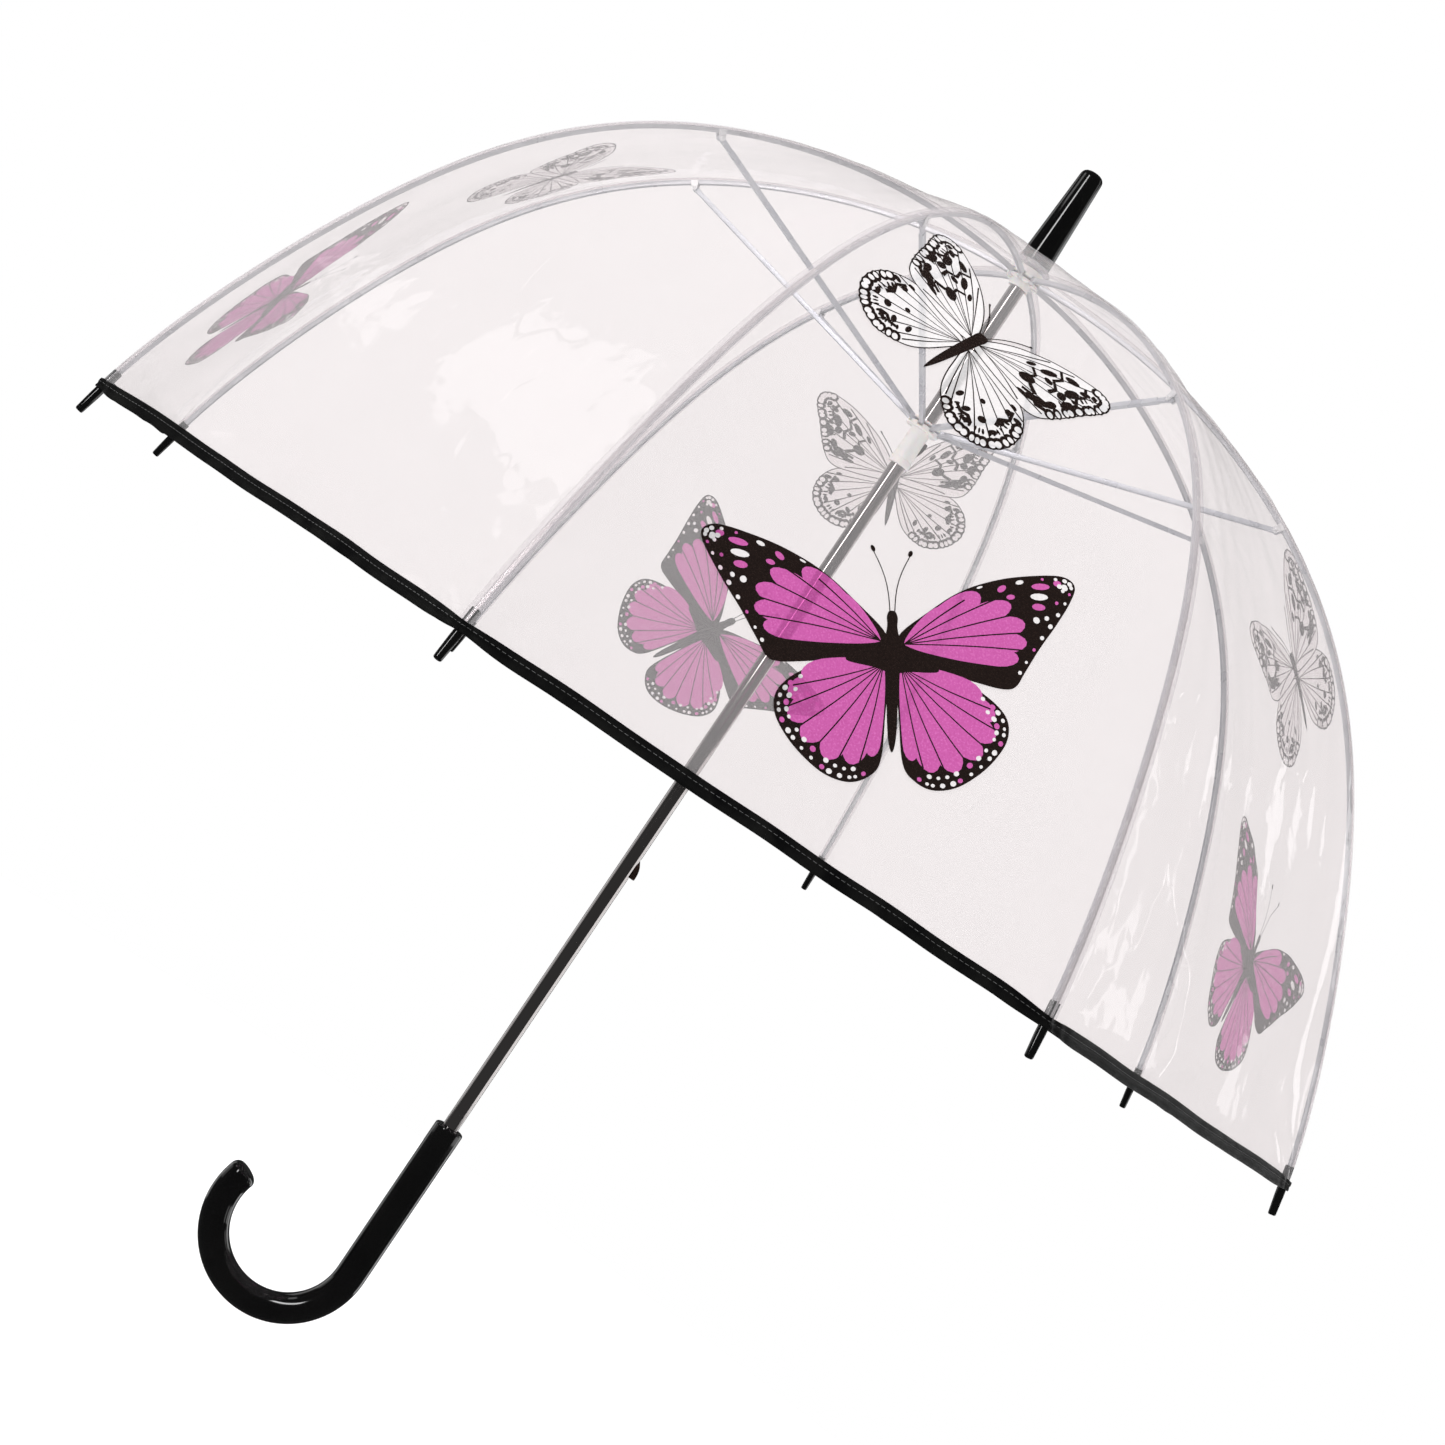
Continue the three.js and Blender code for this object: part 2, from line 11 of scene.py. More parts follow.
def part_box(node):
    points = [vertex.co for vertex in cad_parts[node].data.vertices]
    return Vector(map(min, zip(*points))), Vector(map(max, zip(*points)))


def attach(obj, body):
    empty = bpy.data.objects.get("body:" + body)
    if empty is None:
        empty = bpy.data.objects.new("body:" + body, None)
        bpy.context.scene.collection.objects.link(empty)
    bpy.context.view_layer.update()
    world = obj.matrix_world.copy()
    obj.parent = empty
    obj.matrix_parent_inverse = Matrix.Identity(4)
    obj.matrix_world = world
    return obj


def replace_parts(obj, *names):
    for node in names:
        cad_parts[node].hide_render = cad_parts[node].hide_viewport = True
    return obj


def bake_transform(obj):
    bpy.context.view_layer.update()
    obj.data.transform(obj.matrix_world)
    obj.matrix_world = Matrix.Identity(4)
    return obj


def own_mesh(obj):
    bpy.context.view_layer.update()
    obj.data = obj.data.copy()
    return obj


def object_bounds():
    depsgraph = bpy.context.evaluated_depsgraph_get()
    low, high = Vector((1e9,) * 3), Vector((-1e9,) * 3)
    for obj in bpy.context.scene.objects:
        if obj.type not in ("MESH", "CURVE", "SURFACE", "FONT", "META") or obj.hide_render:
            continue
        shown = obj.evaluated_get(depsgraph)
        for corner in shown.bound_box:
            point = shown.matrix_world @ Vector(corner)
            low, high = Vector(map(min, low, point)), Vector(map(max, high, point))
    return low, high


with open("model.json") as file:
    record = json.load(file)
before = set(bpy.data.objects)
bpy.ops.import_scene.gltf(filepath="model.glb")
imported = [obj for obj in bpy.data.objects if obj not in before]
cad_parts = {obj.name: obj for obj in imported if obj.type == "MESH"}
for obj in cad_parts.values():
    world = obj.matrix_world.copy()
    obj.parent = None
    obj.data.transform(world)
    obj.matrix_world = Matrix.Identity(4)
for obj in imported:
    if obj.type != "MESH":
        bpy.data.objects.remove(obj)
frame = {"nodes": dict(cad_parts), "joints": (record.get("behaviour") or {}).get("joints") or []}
cad_low, cad_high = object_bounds()

# ---- Places and sizes, in metres ----
MM = 0.001
JOINTS = {joint["name"]: joint for joint in frame["joints"]}
NUMBERS = range(1, 1 + sum(name.startswith("tip_") for name in frame["nodes"]))
HALF_GORE = pi / len(NUMBERS)

RIM_FLARE = 40 * MM  # draws the dome's sides in, so that they lean outwards at the hem
RIB_INSET = 4 * MM  # a rib's centre line to the outside of the film
FILM_START_RADIUS = 8 * MM  # of the hole in the film at the crown
EASE_ANGLE = radians(20)  # a rib eases from its crown pivot onto the dome's curve
HEM_HEIGHT = 8 * MM


def joint_point(name):
    """Where a joint is, with the part at rest."""
    return Vector(JOINTS[name]["pos_m"])


def heading(point):
    """The direction of a point about the shaft, from +X."""
    return atan2(point[1], point[0])


def reach(point):
    """The distance of a point from the shaft's axis."""
    return hypot(point[0], point[1])


def drawn_in(angle):
    """How far the dome's side is drawn in at an angle from its top."""
    return RIM_FLARE * np.sin(2 * angle) * np.sin(angle) ** 4


RIM_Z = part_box("gore_outer_1")[0].z
DOME_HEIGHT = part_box("gore_inner_1")[1].z - RIM_Z
RIB_HEIGHT = DOME_HEIGHT - RIB_INSET
FLEX = joint_point("rib_flex_1")  # where rib 1 bends as the canopy closes
FLEX_ANGLE = acos((FLEX.z - RIM_Z) / RIB_HEIGHT)
RIB_RADIUS = (reach(FLEX) + drawn_in(FLEX_ANGLE)) / sin(FLEX_ANGLE)
RIM_LEAN = atan2(2 * RIM_FLARE, RIB_HEIGHT)
DOME_RADIUS = RIB_RADIUS + RIB_INSET
START_ANGLE = asin(FILM_START_RADIUS / DOME_RADIUS)

CROWN = joint_point("canopy_fold")
CROWN_RADIUS = reach(CROWN)
CROWN_ANGLE = asin(CROWN_RADIUS / RIB_RADIUS)
CROWN_DROP = RIM_Z + RIB_HEIGHT * cos(CROWN_ANGLE) - CROWN.z  # from the curve to the crown's pivots
CLIP = joint_point("stretcher_swing_1")  # where stretcher 1 hangs from its rib
CLIP_RADIUS = reach(CLIP)
RUNNER_Z = joint_point("runner_carry").z

RIB_HEADING = {n: heading(joint_point(f"rib_flex_{n}")) for n in NUMBERS}
GORE_HEADING = {n: heading(joint_point(f"gore_flex_{n}")) for n in NUMBERS}


# ---- Plain geometry ----
SHARP_ANGLE = 35  # an edge that turns more than this many degrees stays sharp


def placed(turn, radial, across, height):
    """A point of the radial plane at that heading, some way across it."""
    c, s = cos(turn), sin(turn)
    return Vector((radial * c - across * s, radial * s + across * c, height))


def dome_reach(radius, angle):
    """Distance from the dome's axis at an angle from its top, for a curve of that radius at the hem."""
    return radius * np.sin(angle) - drawn_in(angle)


def rib_point(angle):
    """Radius and height of a rib's centre line at an angle from the dome's top."""
    ease = max(0.0, 1 - angle / EASE_ANGLE) ** 2
    return dome_reach(RIB_RADIUS, angle), RIM_Z + RIB_HEIGHT * cos(angle) - CROWN_DROP * ease


def dome_normal(angle, radius=RIB_RADIUS, height=RIB_HEIGHT, narrowing=1.0):
    """Radial and upward parts of the direction straight out of the dome."""
    sine, cosine = sin(angle), cos(angle)
    turned_in = RIM_FLARE * sine ** 4 * (2 * cos(2 * angle) + 8 * cosine ** 2)
    out = Vector((height * sine, narrowing * (radius * cosine - turned_in))).normalized()
    return out.x, out.y


def leaned(turn, radial, across, up):
    """A point given about a rib's end, whose own upright axis leans in towards the shaft."""
    c, s = cos(RIM_LEAN), sin(RIM_LEAN)
    return placed(turn, RIB_RADIUS + radial * c - up * s, across, RIM_Z + radial * s + up * c)


def rounded(corners, radius, steps=4, closed=False):
    """An outline with its corners rounded. Each corner is a point, or a point and its own radius."""
    points = [Vector(corner[:2]) for corner in corners]
    outline = []
    for k, point in enumerate(points):
        if not closed and k in (0, len(points) - 1):
            outline.append(tuple(point))
            continue
        before, after = points[k - 1] - point, points[(k + 1) % len(points)] - point
        wanted = corners[k][2] if len(corners[k]) > 2 else radius
        trim = min(wanted, before.length / 2.01, after.length / 2.01)
        start, end = point + before.normalized() * trim, point + after.normalized() * trim
        for step in range(steps + 1):
            t = step / steps
            outline.append(tuple(start * (1 - t) ** 2 + point * (2 * t * (1 - t)) + end * t ** 2))
    return outline


def arc(centre, radius, start, end, steps):
    """Points of a circle's arc between two angles in degrees."""
    angles = [radians(start + (end - start) * k / steps) for k in range(steps + 1)]
    return [(centre[0] + radius * cos(a), centre[1] + radius * sin(a)) for a in angles]


def inset(outline, distance):
    """A closed outline moved inwards. The outline runs anticlockwise."""
    moved = []
    for k, point in enumerate(outline):
        along = Vector(outline[(k + 1) % len(outline)]) - Vector(outline[k - 1])
        side = Vector((-along.y, along.x)).normalized() * distance
        moved.append((point[0] + side.x, point[1] + side.y))
    return moved


def skin(rings, caps=True, loop=True):
    """Vertices and faces over rings of points, with the first and last ring filled if asked."""
    count = len(rings[0])
    verts = [point for ring in rings for point in ring]
    faces = []
    for row in range(len(rings) - 1):
        for k in range(count if loop else count - 1):
            a, b = row * count + k, row * count + (k + 1) % count
            faces.append((a, b, b + count, a + count))
    if caps:
        faces.append(tuple(reversed(range(count))))
        faces.append(tuple(range(len(verts) - count, len(verts))))
    return verts, faces


def together(parts):
    """Several (vertices, faces) as one."""
    verts, faces = [], []
    for part_verts, part_faces in parts:
        faces += [tuple(k + len(verts) for k in face) for face in part_faces]
        verts += part_verts
    return verts, faces


def add_piece(name, shape, material, sharp=SHARP_ANGLE, weld=True):
    """A new mesh object from (vertices, faces), with its faces pointing out and its curves shaded smooth."""
    mesh = bpy.data.meshes.new(name)
    mesh.from_pydata([tuple(v) for v in shape[0]], [], shape[1])
    if weld:
        work = bmesh.new()
        work.from_mesh(mesh)
        bmesh.ops.remove_doubles(work, verts=work.verts, dist=1e-7)
        bmesh.ops.recalc_face_normals(work, faces=work.faces)
        work.to_mesh(mesh)
        work.free()
    mesh.materials.append(material)
    mesh.shade_smooth()
    mesh.set_sharp_from_angle(angle=radians(sharp))
    piece = bpy.data.objects.new(name, mesh)
    bpy.context.scene.collection.objects.link(piece)
    return piece


def around(count):
    """Angles spread evenly round a full turn."""
    return [2 * pi * k / count for k in range(count)]


def lathe(profile, sides=96, closed=False):
    """A turned shape from (radius, height) points."""
    profile = list(profile) + ([profile[0]] if closed else [])
    rings = [[Vector((radius * cos(a), radius * sin(a), height)) for a in around(sides)]
             for radius, height in profile]
    return skin(rings, caps=False)


def turned_ring(corners, radius, steps):
    """A turned shape with a bore, from its closed outline, with rounded corners."""
    return lathe(rounded(corners, radius, steps, closed=True), closed=True)


def cross_lathe(turn, radial, height, profile, sides=24):
    """A shape turned about a line across a radial plane, from (radius, across) points."""
    rings = [[placed(turn, radial + radius * cos(a), across, height + radius * sin(a))
              for a in around(sides)] for radius, across in profile]
    return skin(rings, caps=False)


def radial_plate(turn, outline, middle, thickness, edge):
    """A plate with eased edges, from an outline in a radial plane, centred some way across it."""
    half = thickness / 2
    rings = []
    for across, shrink in ((-half, edge), (edge - half, 0), (half - edge, 0), (half, edge)):
        rings.append([placed(turn, r, middle + across, z) for r, z in inset(outline, shrink)])
    return skin(rings)


def box_shape(turn, low, high):
    """A plain box in a radial plane's own (radial, across, height), to cut with."""
    rings = []
    for z in (low[2], high[2]):
        corners = ((low[0], low[1]), (high[0], low[1]), (high[0], high[1]), (low[0], high[1]))
        rings.append([placed(turn, r, across, z) for r, across in corners])
    return skin(rings)


def cut(piece, shapes):
    """Cuts closed shapes out of a piece."""
    tool = add_piece("cutter", together(shapes), piece.data.materials[0])
    change = piece.modifiers.new("cut", "BOOLEAN")
    change.operation, change.solver, change.object = "DIFFERENCE", "EXACT", tool
    graph = bpy.context.evaluated_depsgraph_get()
    mesh = bpy.data.meshes.new_from_object(piece.evaluated_get(graph))
    piece.modifiers.clear()
    piece.data = mesh
    mesh.shade_smooth()
    mesh.set_sharp_from_angle(angle=radians(SHARP_ANGLE))
    bpy.data.objects.remove(tool)


# ---- Materials ----
def feed(tree, socket, value):
    """Gives a socket its value, or another node's output to follow."""
    if isinstance(value, bpy.types.NodeSocket):
        tree.links.new(value, socket)
    else:
        socket.default_value = value


def set_inputs(tree, node, **inputs):
    """Feeds a node's inputs by name, with _ for a space."""
    for name, value in inputs.items():
        feed(tree, node.inputs[name.replace("_", " ")], value)


def add_node(tree, kind, **inputs):
    """A new node of that kind, with its inputs fed."""
    node = tree.nodes.new("ShaderNode" + kind)
    set_inputs(tree, node, **inputs)
    return node


def mixed(tree, share, first, second):
    """A mix of two shaders, with that share of the second."""
    mix = add_node(tree, "MixShader", Fac=share)
    feed(tree, mix.inputs[1], first)
    feed(tree, mix.inputs[2], second)
    return mix.outputs["Shader"]


def new_material(name):
    """A new material, its node tree and its Principled shader."""
    material = bpy.data.materials.new(name)
    material.use_nodes = True
    tree = material.node_tree
    tree.nodes.clear()
    shader = add_node(tree, "BsdfPrincipled")
    add_node(tree, "OutputMaterial", Surface=shader.outputs["BSDF"])
    return material, tree, shader


def noise_value(tree, scale, stretch=(1, 1, 1), detail=3.0):
    """A noise over the piece's own coordinates, in features per metre."""
    place = add_node(tree, "TexCoord").outputs["Object"]
    stretched = add_node(tree, "Mapping", Vector=place, Scale=stretch).outputs["Vector"]
    return add_node(tree, "TexNoise", Vector=stretched, Scale=scale, Detail=detail).outputs["Fac"]


def ranged(tree, value, low, high, start=0.3, end=0.7):
    """A value that goes from low to high as another goes from start to end."""
    span = add_node(tree, "MapRange", Value=value, From_Min=start, From_Max=end, To_Min=low, To_Max=high)
    return span.outputs["Result"]


def maths(tree, operation, first, second=0.0):
    """The result of a sum done on one or two values."""
    node = add_node(tree, "Math")
    node.operation = operation
    feed(tree, node.inputs[0], first)
    feed(tree, node.inputs[1], second)
    return node.outputs["Value"]


def varied_colour(tree, value, dark, light):
    """A colour between two, as a cloudy value says."""
    mix = add_node(tree, "Mix")
    mix.data_type = "RGBA"
    set_inputs(tree, mix, A=(*dark, 1), B=(*light, 1), Factor=ranged(tree, value, 0, 1))
    return mix.outputs["Result"]


def relief_of(tree, value, height, **under):
    """A surface with the relief of a value, that many metres high, on top of another relief if given."""
    return add_node(tree, "Bump", Height=value, Distance=height, Strength=1.0, **under).outputs["Normal"]


def finish(name, dark, light, roughness, metallic=0.0, scale=60, grain=900, relief=0.02 * MM,
           stretch=(1, 1, 1), **more):
    """A finish with cloudy colour and roughness and a fine surface relief."""
    material, tree, shader = new_material(name)
    cloud = noise_value(tree, scale, stretch)
    set_inputs(tree, shader, Base_Color=varied_colour(tree, cloud, dark, light), Metallic=metallic,
               Roughness=ranged(tree, cloud, *roughness),
               Normal=relief_of(tree, noise_value(tree, grain, stretch), relief), **more)
    return material


def creases(tree):
    """Sparse, thin, wandering ridges, as in film that has been folded away: 1 on a ridge and 0 off it."""
    offset = maths(tree, "SUBTRACT", noise_value(tree, 11, (1, 1, 0.6)), 0.5)
    ridge = ranged(tree, maths(tree, "ABSOLUTE", offset), 1, 0, 0, 0.008)
    patches = ranged(tree, noise_value(tree, 7, detail=1.0), 0, 1, 0.53, 0.62)
    return maths(tree, "MULTIPLY", ridge, patches)


def let_through(tree, shader, share, tint):
    """Mixes tinted see-through into a material, and leaves its shader that share."""
    clear = add_node(tree, "BsdfTransparent", Color=(*tint, 1))
    feed(tree, tree.nodes["Material Output"].inputs["Surface"],
         mixed(tree, share, clear.outputs["BSDF"], shader.outputs["BSDF"]))


def clear_sheet(name, tint, body, veil, edge, roughness, ripple, crease=0.0):
    """Clear plastic sheet: mostly see-through, with a faint milky body that grows towards grazing views."""
    material, tree, shader = new_material(name)
    cloud = noise_value(tree, 22)
    relief = relief_of(tree, noise_value(tree, 48, detail=2.0), ripple)
    if crease:
        relief = relief_of(tree, creases(tree), crease, Normal=relief)
    set_inputs(tree, shader, Metallic=0.15, IOR=1.53, Roughness=ranged(tree, cloud, *roughness),
               Base_Color=varied_colour(tree, cloud, [0.965 * c for c in body], body), Normal=relief)
    grazing = maths(tree, "POWER", add_node(tree, "LayerWeight", Blend=0.5).outputs["Facing"], 5.0)
    let_through(tree, shader, ranged(tree, grazing, veil, edge, 0, 1), tint)
    return material


def woven_tape(name):
    """Black satin binding: fine diagonal ribs and a soft sheen."""
    material, tree, shader = new_material(name)
    cloud = noise_value(tree, 90)
    place = add_node(tree, "TexCoord").outputs["Object"]
    twill = add_node(tree, "TexWave", Vector=place, Scale=420, Distortion=0.6)
    twill.bands_direction = "DIAGONAL"
    colour = varied_colour(tree, cloud, (0.003, 0.003, 0.0033), (0.008, 0.008, 0.0075))
    set_inputs(tree, shader, Base_Color=colour, Roughness=ranged(tree, cloud, 0.34, 0.5),
               Normal=relief_of(tree, twill.outputs["Fac"], 0.06 * MM), Specular_IOR_Level=0.2, IOR=1.25,
               Sheen_Weight=0.01, Sheen_Roughness=0.35)
    return material


def ink(name, dark, light, see_through=0.0, tint=(1, 1, 1)):
    """Screen-printed ink with the fine speckle of its dots. Thin ink lets some tinted light through."""
    material = finish(name, dark, light, (0.2, 0.3), scale=950, grain=1500, relief=0.006 * MM,
                      Coat_Weight=0.3, Coat_Roughness=0.08)
    if see_through:
        tree = material.node_tree
        let_through(tree, tree.nodes["Principled BSDF"], 1 - see_through, tint)
    return material


CHROME = finish("chromed_tube", (0.38, 0.355, 0.35), (0.48, 0.455, 0.45), (0.05, 0.12), 1.0,
                scale=30, grain=700, relief=0.008 * MM, stretch=(1, 1, 0.06))
RIB_STEEL = finish("plated_rib_steel", (0.74, 0.75, 0.77), (0.90, 0.905, 0.91), (0.2, 0.32), 0.25,
                   scale=50, grain=800, relief=0.02 * MM)
# The rib's flanks: a darker copy of the rib steel, painted shade where the channel's sides turn from the
# light
RIB_SIDE_PAINTED_SHADE = finish("rib_side_steel_painted_shade", (0.52, 0.53, 0.56), (0.64, 0.65, 0.68), (0.25, 0.4), 0.35,
                  scale=50, grain=800, relief=0.02 * MM)
ARM_STEEL = finish("plated_arm_steel", (0.46, 0.48, 0.53), (0.62, 0.64, 0.68), (0.22, 0.36), 0.3,
                   scale=50, grain=800, relief=0.02 * MM)
WIRE = finish("tie_wire_steel", (0.50, 0.50, 0.51), (0.66, 0.66, 0.66), (0.2, 0.35), 1.0)
BROWN_STEEL = finish("browned_spring_steel", (0.016, 0.008, 0.006), (0.05, 0.026, 0.018), (0.25, 0.4), 0.6,
                     scale=300)
BLACK = finish("gloss_black_plastic", (0.0012, 0.0012, 0.0013), (0.0025, 0.0025, 0.0025), (0.06, 0.13),
               scale=26, grain=160, relief=0.006 * MM,
               Coat_Weight=0.2, Coat_Roughness=0.05)
WHITE_PLASTIC = finish("milky_plastic", (0.80, 0.79, 0.76), (0.88, 0.87, 0.85), (0.25, 0.4), scale=120,
                       Subsurface_Weight=0.3, Subsurface_Scale=2 * MM)
THREAD = finish("grey_thread", (0.09, 0.09, 0.09), (0.16, 0.16, 0.16), (0.45, 0.6), scale=900, grain=3000)
TAPE = woven_tape("black_satin_tape")
FILM = clear_sheet("clear_film", (0.96, 0.932, 0.932), (0.93, 0.905, 0.91), 0.2, 0.48, (0.04, 0.09),
                   0.45 * MM, 0.35 * MM)
SEAM_FILM = clear_sheet("welded_film", (0.95, 0.94, 0.945), (0.96, 0.95, 0.955), 0.12, 0.4, (0.06, 0.12),
                        0.1 * MM)
CLEAR_PLASTIC = clear_sheet("clear_washer_plastic", (0.85, 0.86, 0.88), (0.8, 0.8, 0.82), 0.35, 0.9,
                            (0.08, 0.14), 0.1 * MM)
PINK_INK = ink("pink_ink", (0.54, 0.084, 0.35), (0.62, 0.118, 0.42), 0.28, (0.88, 0.24, 0.66))
DARK_INK = ink("dark_ink", (0.010, 0.0055, 0.0045), (0.018, 0.009, 0.007))
WHITE_INK = ink("white_ink", (0.86, 0.85, 0.85), (0.95, 0.94, 0.94), 0.45, (0.97, 0.95, 0.95))


# ---- Stage: camera, lights, floor ----
CAMERA_DISTANCE = 1.529
CAMERA_PITCH = radians(-1.62)
CAMERA_ROLL = radians(34.06)
CAMERA_TARGET = Vector((-0.8 * MM, 0.0, RIM_Z + 44.7 * MM))
CAMERA_LENS, CAMERA_SENSOR = 63.0, 36.0


def add_camera():
    """A camera that looks nearly level along +Y, rolled so that the umbrella tilts."""
    data = bpy.data.cameras.new("camera")
    data.lens, data.sensor_width = CAMERA_LENS, CAMERA_SENSOR
    camera = bpy.data.objects.new("camera", data)
    bpy.context.scene.collection.objects.link(camera)
    back = Vector((0, -cos(CAMERA_PITCH), sin(CAMERA_PITCH)))
    level_right = Vector((1, 0, 0))
    level_up = level_right.cross(-back)
    right = level_right * cos(CAMERA_ROLL) + level_up * sin(CAMERA_ROLL)
    up = level_up * cos(CAMERA_ROLL) - level_right * sin(CAMERA_ROLL)
    turned = Matrix((right, up, back)).transposed().to_4x4()
    camera.matrix_world = Matrix.Translation(CAMERA_TARGET + back * CAMERA_DISTANCE) @ turned
    bpy.context.scene.camera = camera


def add_area_light(name, place, aim, size, power):
    """A rectangular light at a place, turned to face its aim."""
    data = bpy.data.lights.new(name, "AREA")
    data.shape, data.size, data.size_y = "RECTANGLE", size[0], size[1]
    data.energy = power
    lamp = bpy.data.objects.new(name, data)
    lamp.location = place
    lamp.rotation_mode = "QUATERNION"
    lamp.rotation_quaternion = (Vector(place) - Vector(aim)).to_track_quat("Z", "Y")
    bpy.context.scene.collection.objects.link(lamp)
    return lamp


def add_fill(name, place, aim, size, power):
    """A broad light that is not mirrored in the glossy pieces."""
    add_area_light(name, place, aim, size, power).visible_glossy = False


def add_highlight(name, place, aim, size, brightness):
    """A softbox that is only seen in reflections."""
    lamp = add_area_light(name, place, aim, size, brightness * pi * size[0] * size[1])
    lamp.visible_diffuse = False
    lamp.visible_camera = False


def add_world():
    """White to the eye, a soft even light on the pieces, and nearly dark in their reflections."""
    world = bpy.data.worlds.new("studio")
    world.use_nodes = True
    tree = world.node_tree
    tree.nodes.clear()
    ray = add_node(tree, "LightPath").outputs

    def background(colour, strength):
        return add_node(tree, "Background", Color=(*colour, 1), Strength=strength).outputs["Background"]

    unseen = mixed(tree, ray["Is Glossy Ray"], background((0.99, 0.99, 1), 0.55), background((1, 1, 1), 0.06))
    seen = mixed(tree, ray["Is Camera Ray"], unseen, background((1, 1, 1), 1.0))
    add_node(tree, "OutputWorld", Surface=seen)
    bpy.context.scene.world = world


FLOOR_RADIUS = 1.3
FLOOR_DROP = 80 * MM  # the floor lies this far below the hook


def add_floor():
    """A pale round floor that softens the light from below."""
    radius, height = FLOOR_RADIUS, cad_low.z - FLOOR_DROP
    ring = [(radius * cos(a), radius * sin(a), height) for a in around(64)]
    material, tree, shader = new_material("pale_floor")
    set_inputs(tree, shader, Base_Color=(0.85, 0.85, 0.85, 1), Roughness=0.9, Specular_IOR_Level=0.1,
               Emission_Color=(1, 1, 1, 1), Emission_Strength=0.25)
    floor = add_piece("floor", (ring, [tuple(range(len(ring)))]), material, weld=False)
    floor.visible_glossy = False


def add_stage():
    """Camera, world, floor and lights. A light has a place, an aim, a width and height, and a strength."""
    add_camera()
    add_world()
    add_floor()
    dome, shaft_middle, shaft_foot = (0, 0, RIM_Z + 0.1), (0, 0, 0.3), (0, 0, 0.05)
    left_panel, right_panel = (-0.3, -0.25, 0.45), (0.3, -0.25, 0.45)
    add_fill("front_fill", (0.3, -2.9, 1.0), dome, (2.4, 2.0), 24)
    add_fill("left_fill", (-2.8, -0.4, 1.6), dome, (2.0, 2.0), 48)
    add_fill("right_fill", (2.8, 0.4, 1.2), dome, (2.0, 2.0), 6)
    add_fill("back_fill", (0, 2.9, 1.2), dome, (2.4, 2.0), 14)
    add_fill("top_fill", (-0.6, 0, 3.0), dome, (2.0, 2.0), 60)
    add_highlight("front_softbox", (-1.2, -1.65, 1.05), shaft_middle, (0.32, 1.3), 12)
    add_highlight("back_left_softbox", (-1.9, 1.6, 0.3), shaft_middle, (0.9, 2.6), 0.9)
    add_highlight("back_right_softbox", (1.9, 1.6, 0.3), shaft_middle, (0.7, 2.6), 2.2)
    add_highlight("low_left_strip", (-1.95, 0.7, 0.0), shaft_foot, (1.3, 0.62), 0.5)
    add_highlight("low_right_strip", (1.97, 0.3, 0.0), shaft_foot, (1.3, 0.62), 1.5)
    add_highlight("left_panel_softbox", (-2.0, -0.2, 1.6), left_panel, (0.7, 0.4), 1.5)
    add_highlight("right_panel_strip", (1.9, 0.45, 1.4), right_panel, (0.2, 1.6), 2.0)
    bpy.context.scene.view_settings.view_transform = "Standard"


# ---- Pieces on the shaft ----
SHAFT_RADIUS = 5 * MM
SHAFT_WALL = 0.8 * MM
SHAFT_HOLE = 5.3 * MM  # radius of the bores that fit the shaft
CATCH_SLOT_HALF = 1.1 * MM
CATCH_SLOT_HALF_ANGLE = asin(CATCH_SLOT_HALF / SHAFT_RADIUS)
CATCH_SLOT_PLAY = 1 * MM


def add_shaft():
    """A tube whose wall is left out where the two catches come through."""
    low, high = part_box("shaft")
    slots = []
    for name in ("bottom_catch", "top_catch"):
        catch_low, catch_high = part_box(name)
        slots.append((catch_low.z - CATCH_SLOT_PLAY, catch_high.z + CATCH_SLOT_PLAY))
    heights = sorted([*np.linspace(low.z, high.z, 41), *(z for slot in slots for z in slot)])
    angles = [*np.linspace(CATCH_SLOT_HALF_ANGLE, 2 * pi - CATCH_SLOT_HALF_ANGLE, 91), 0.0]
    verts = [Vector((SHAFT_RADIUS * cos(a), SHAFT_RADIUS * sin(a), z)) for z in heights for a in angles]
    faces = []
    for row in range(len(heights) - 1):
        middle = (heights[row] + heights[row + 1]) / 2
        in_slot = any(bottom < middle < top for bottom, top in slots)
        for k in range(len(angles)):
            if in_slot and k >= len(angles) - 2:
                continue
            a, b = row * len(angles) + k, row * len(angles) + (k + 1) % len(angles)
            faces.append((a, b, b + len(angles), a + len(angles)))
    shaft = add_piece("shaft_tube", (verts, faces), CHROME, weld=False)
    wall = shaft.modifiers.new("wall", "SOLIDIFY")
    wall.thickness, wall.offset = SHAFT_WALL, -1
    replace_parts(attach(shaft, "stem"), "shaft")


HANDLE_RADIUS = 9.4 * MM
HANDLE_STRAIGHT = 106 * MM  # length of the handle above its hook
HOOK_RADIUS = 45 * MM
HOOK_SWEEP = radians(191)
HANDLE_BORE = 5.4 * MM


def handle_place(along):
    """Radial and height position of the handle's centre line, and its direction there."""
    if along < HANDLE_STRAIGHT:
        return (0.0, -along), (0.0, -1.0)
    turn = (along - HANDLE_STRAIGHT) / HOOK_RADIUS
    place = (HOOK_RADIUS * (cos(turn) - 1), -HANDLE_STRAIGHT - HOOK_RADIUS * sin(turn))
    return place, (-sin(turn), -cos(turn))


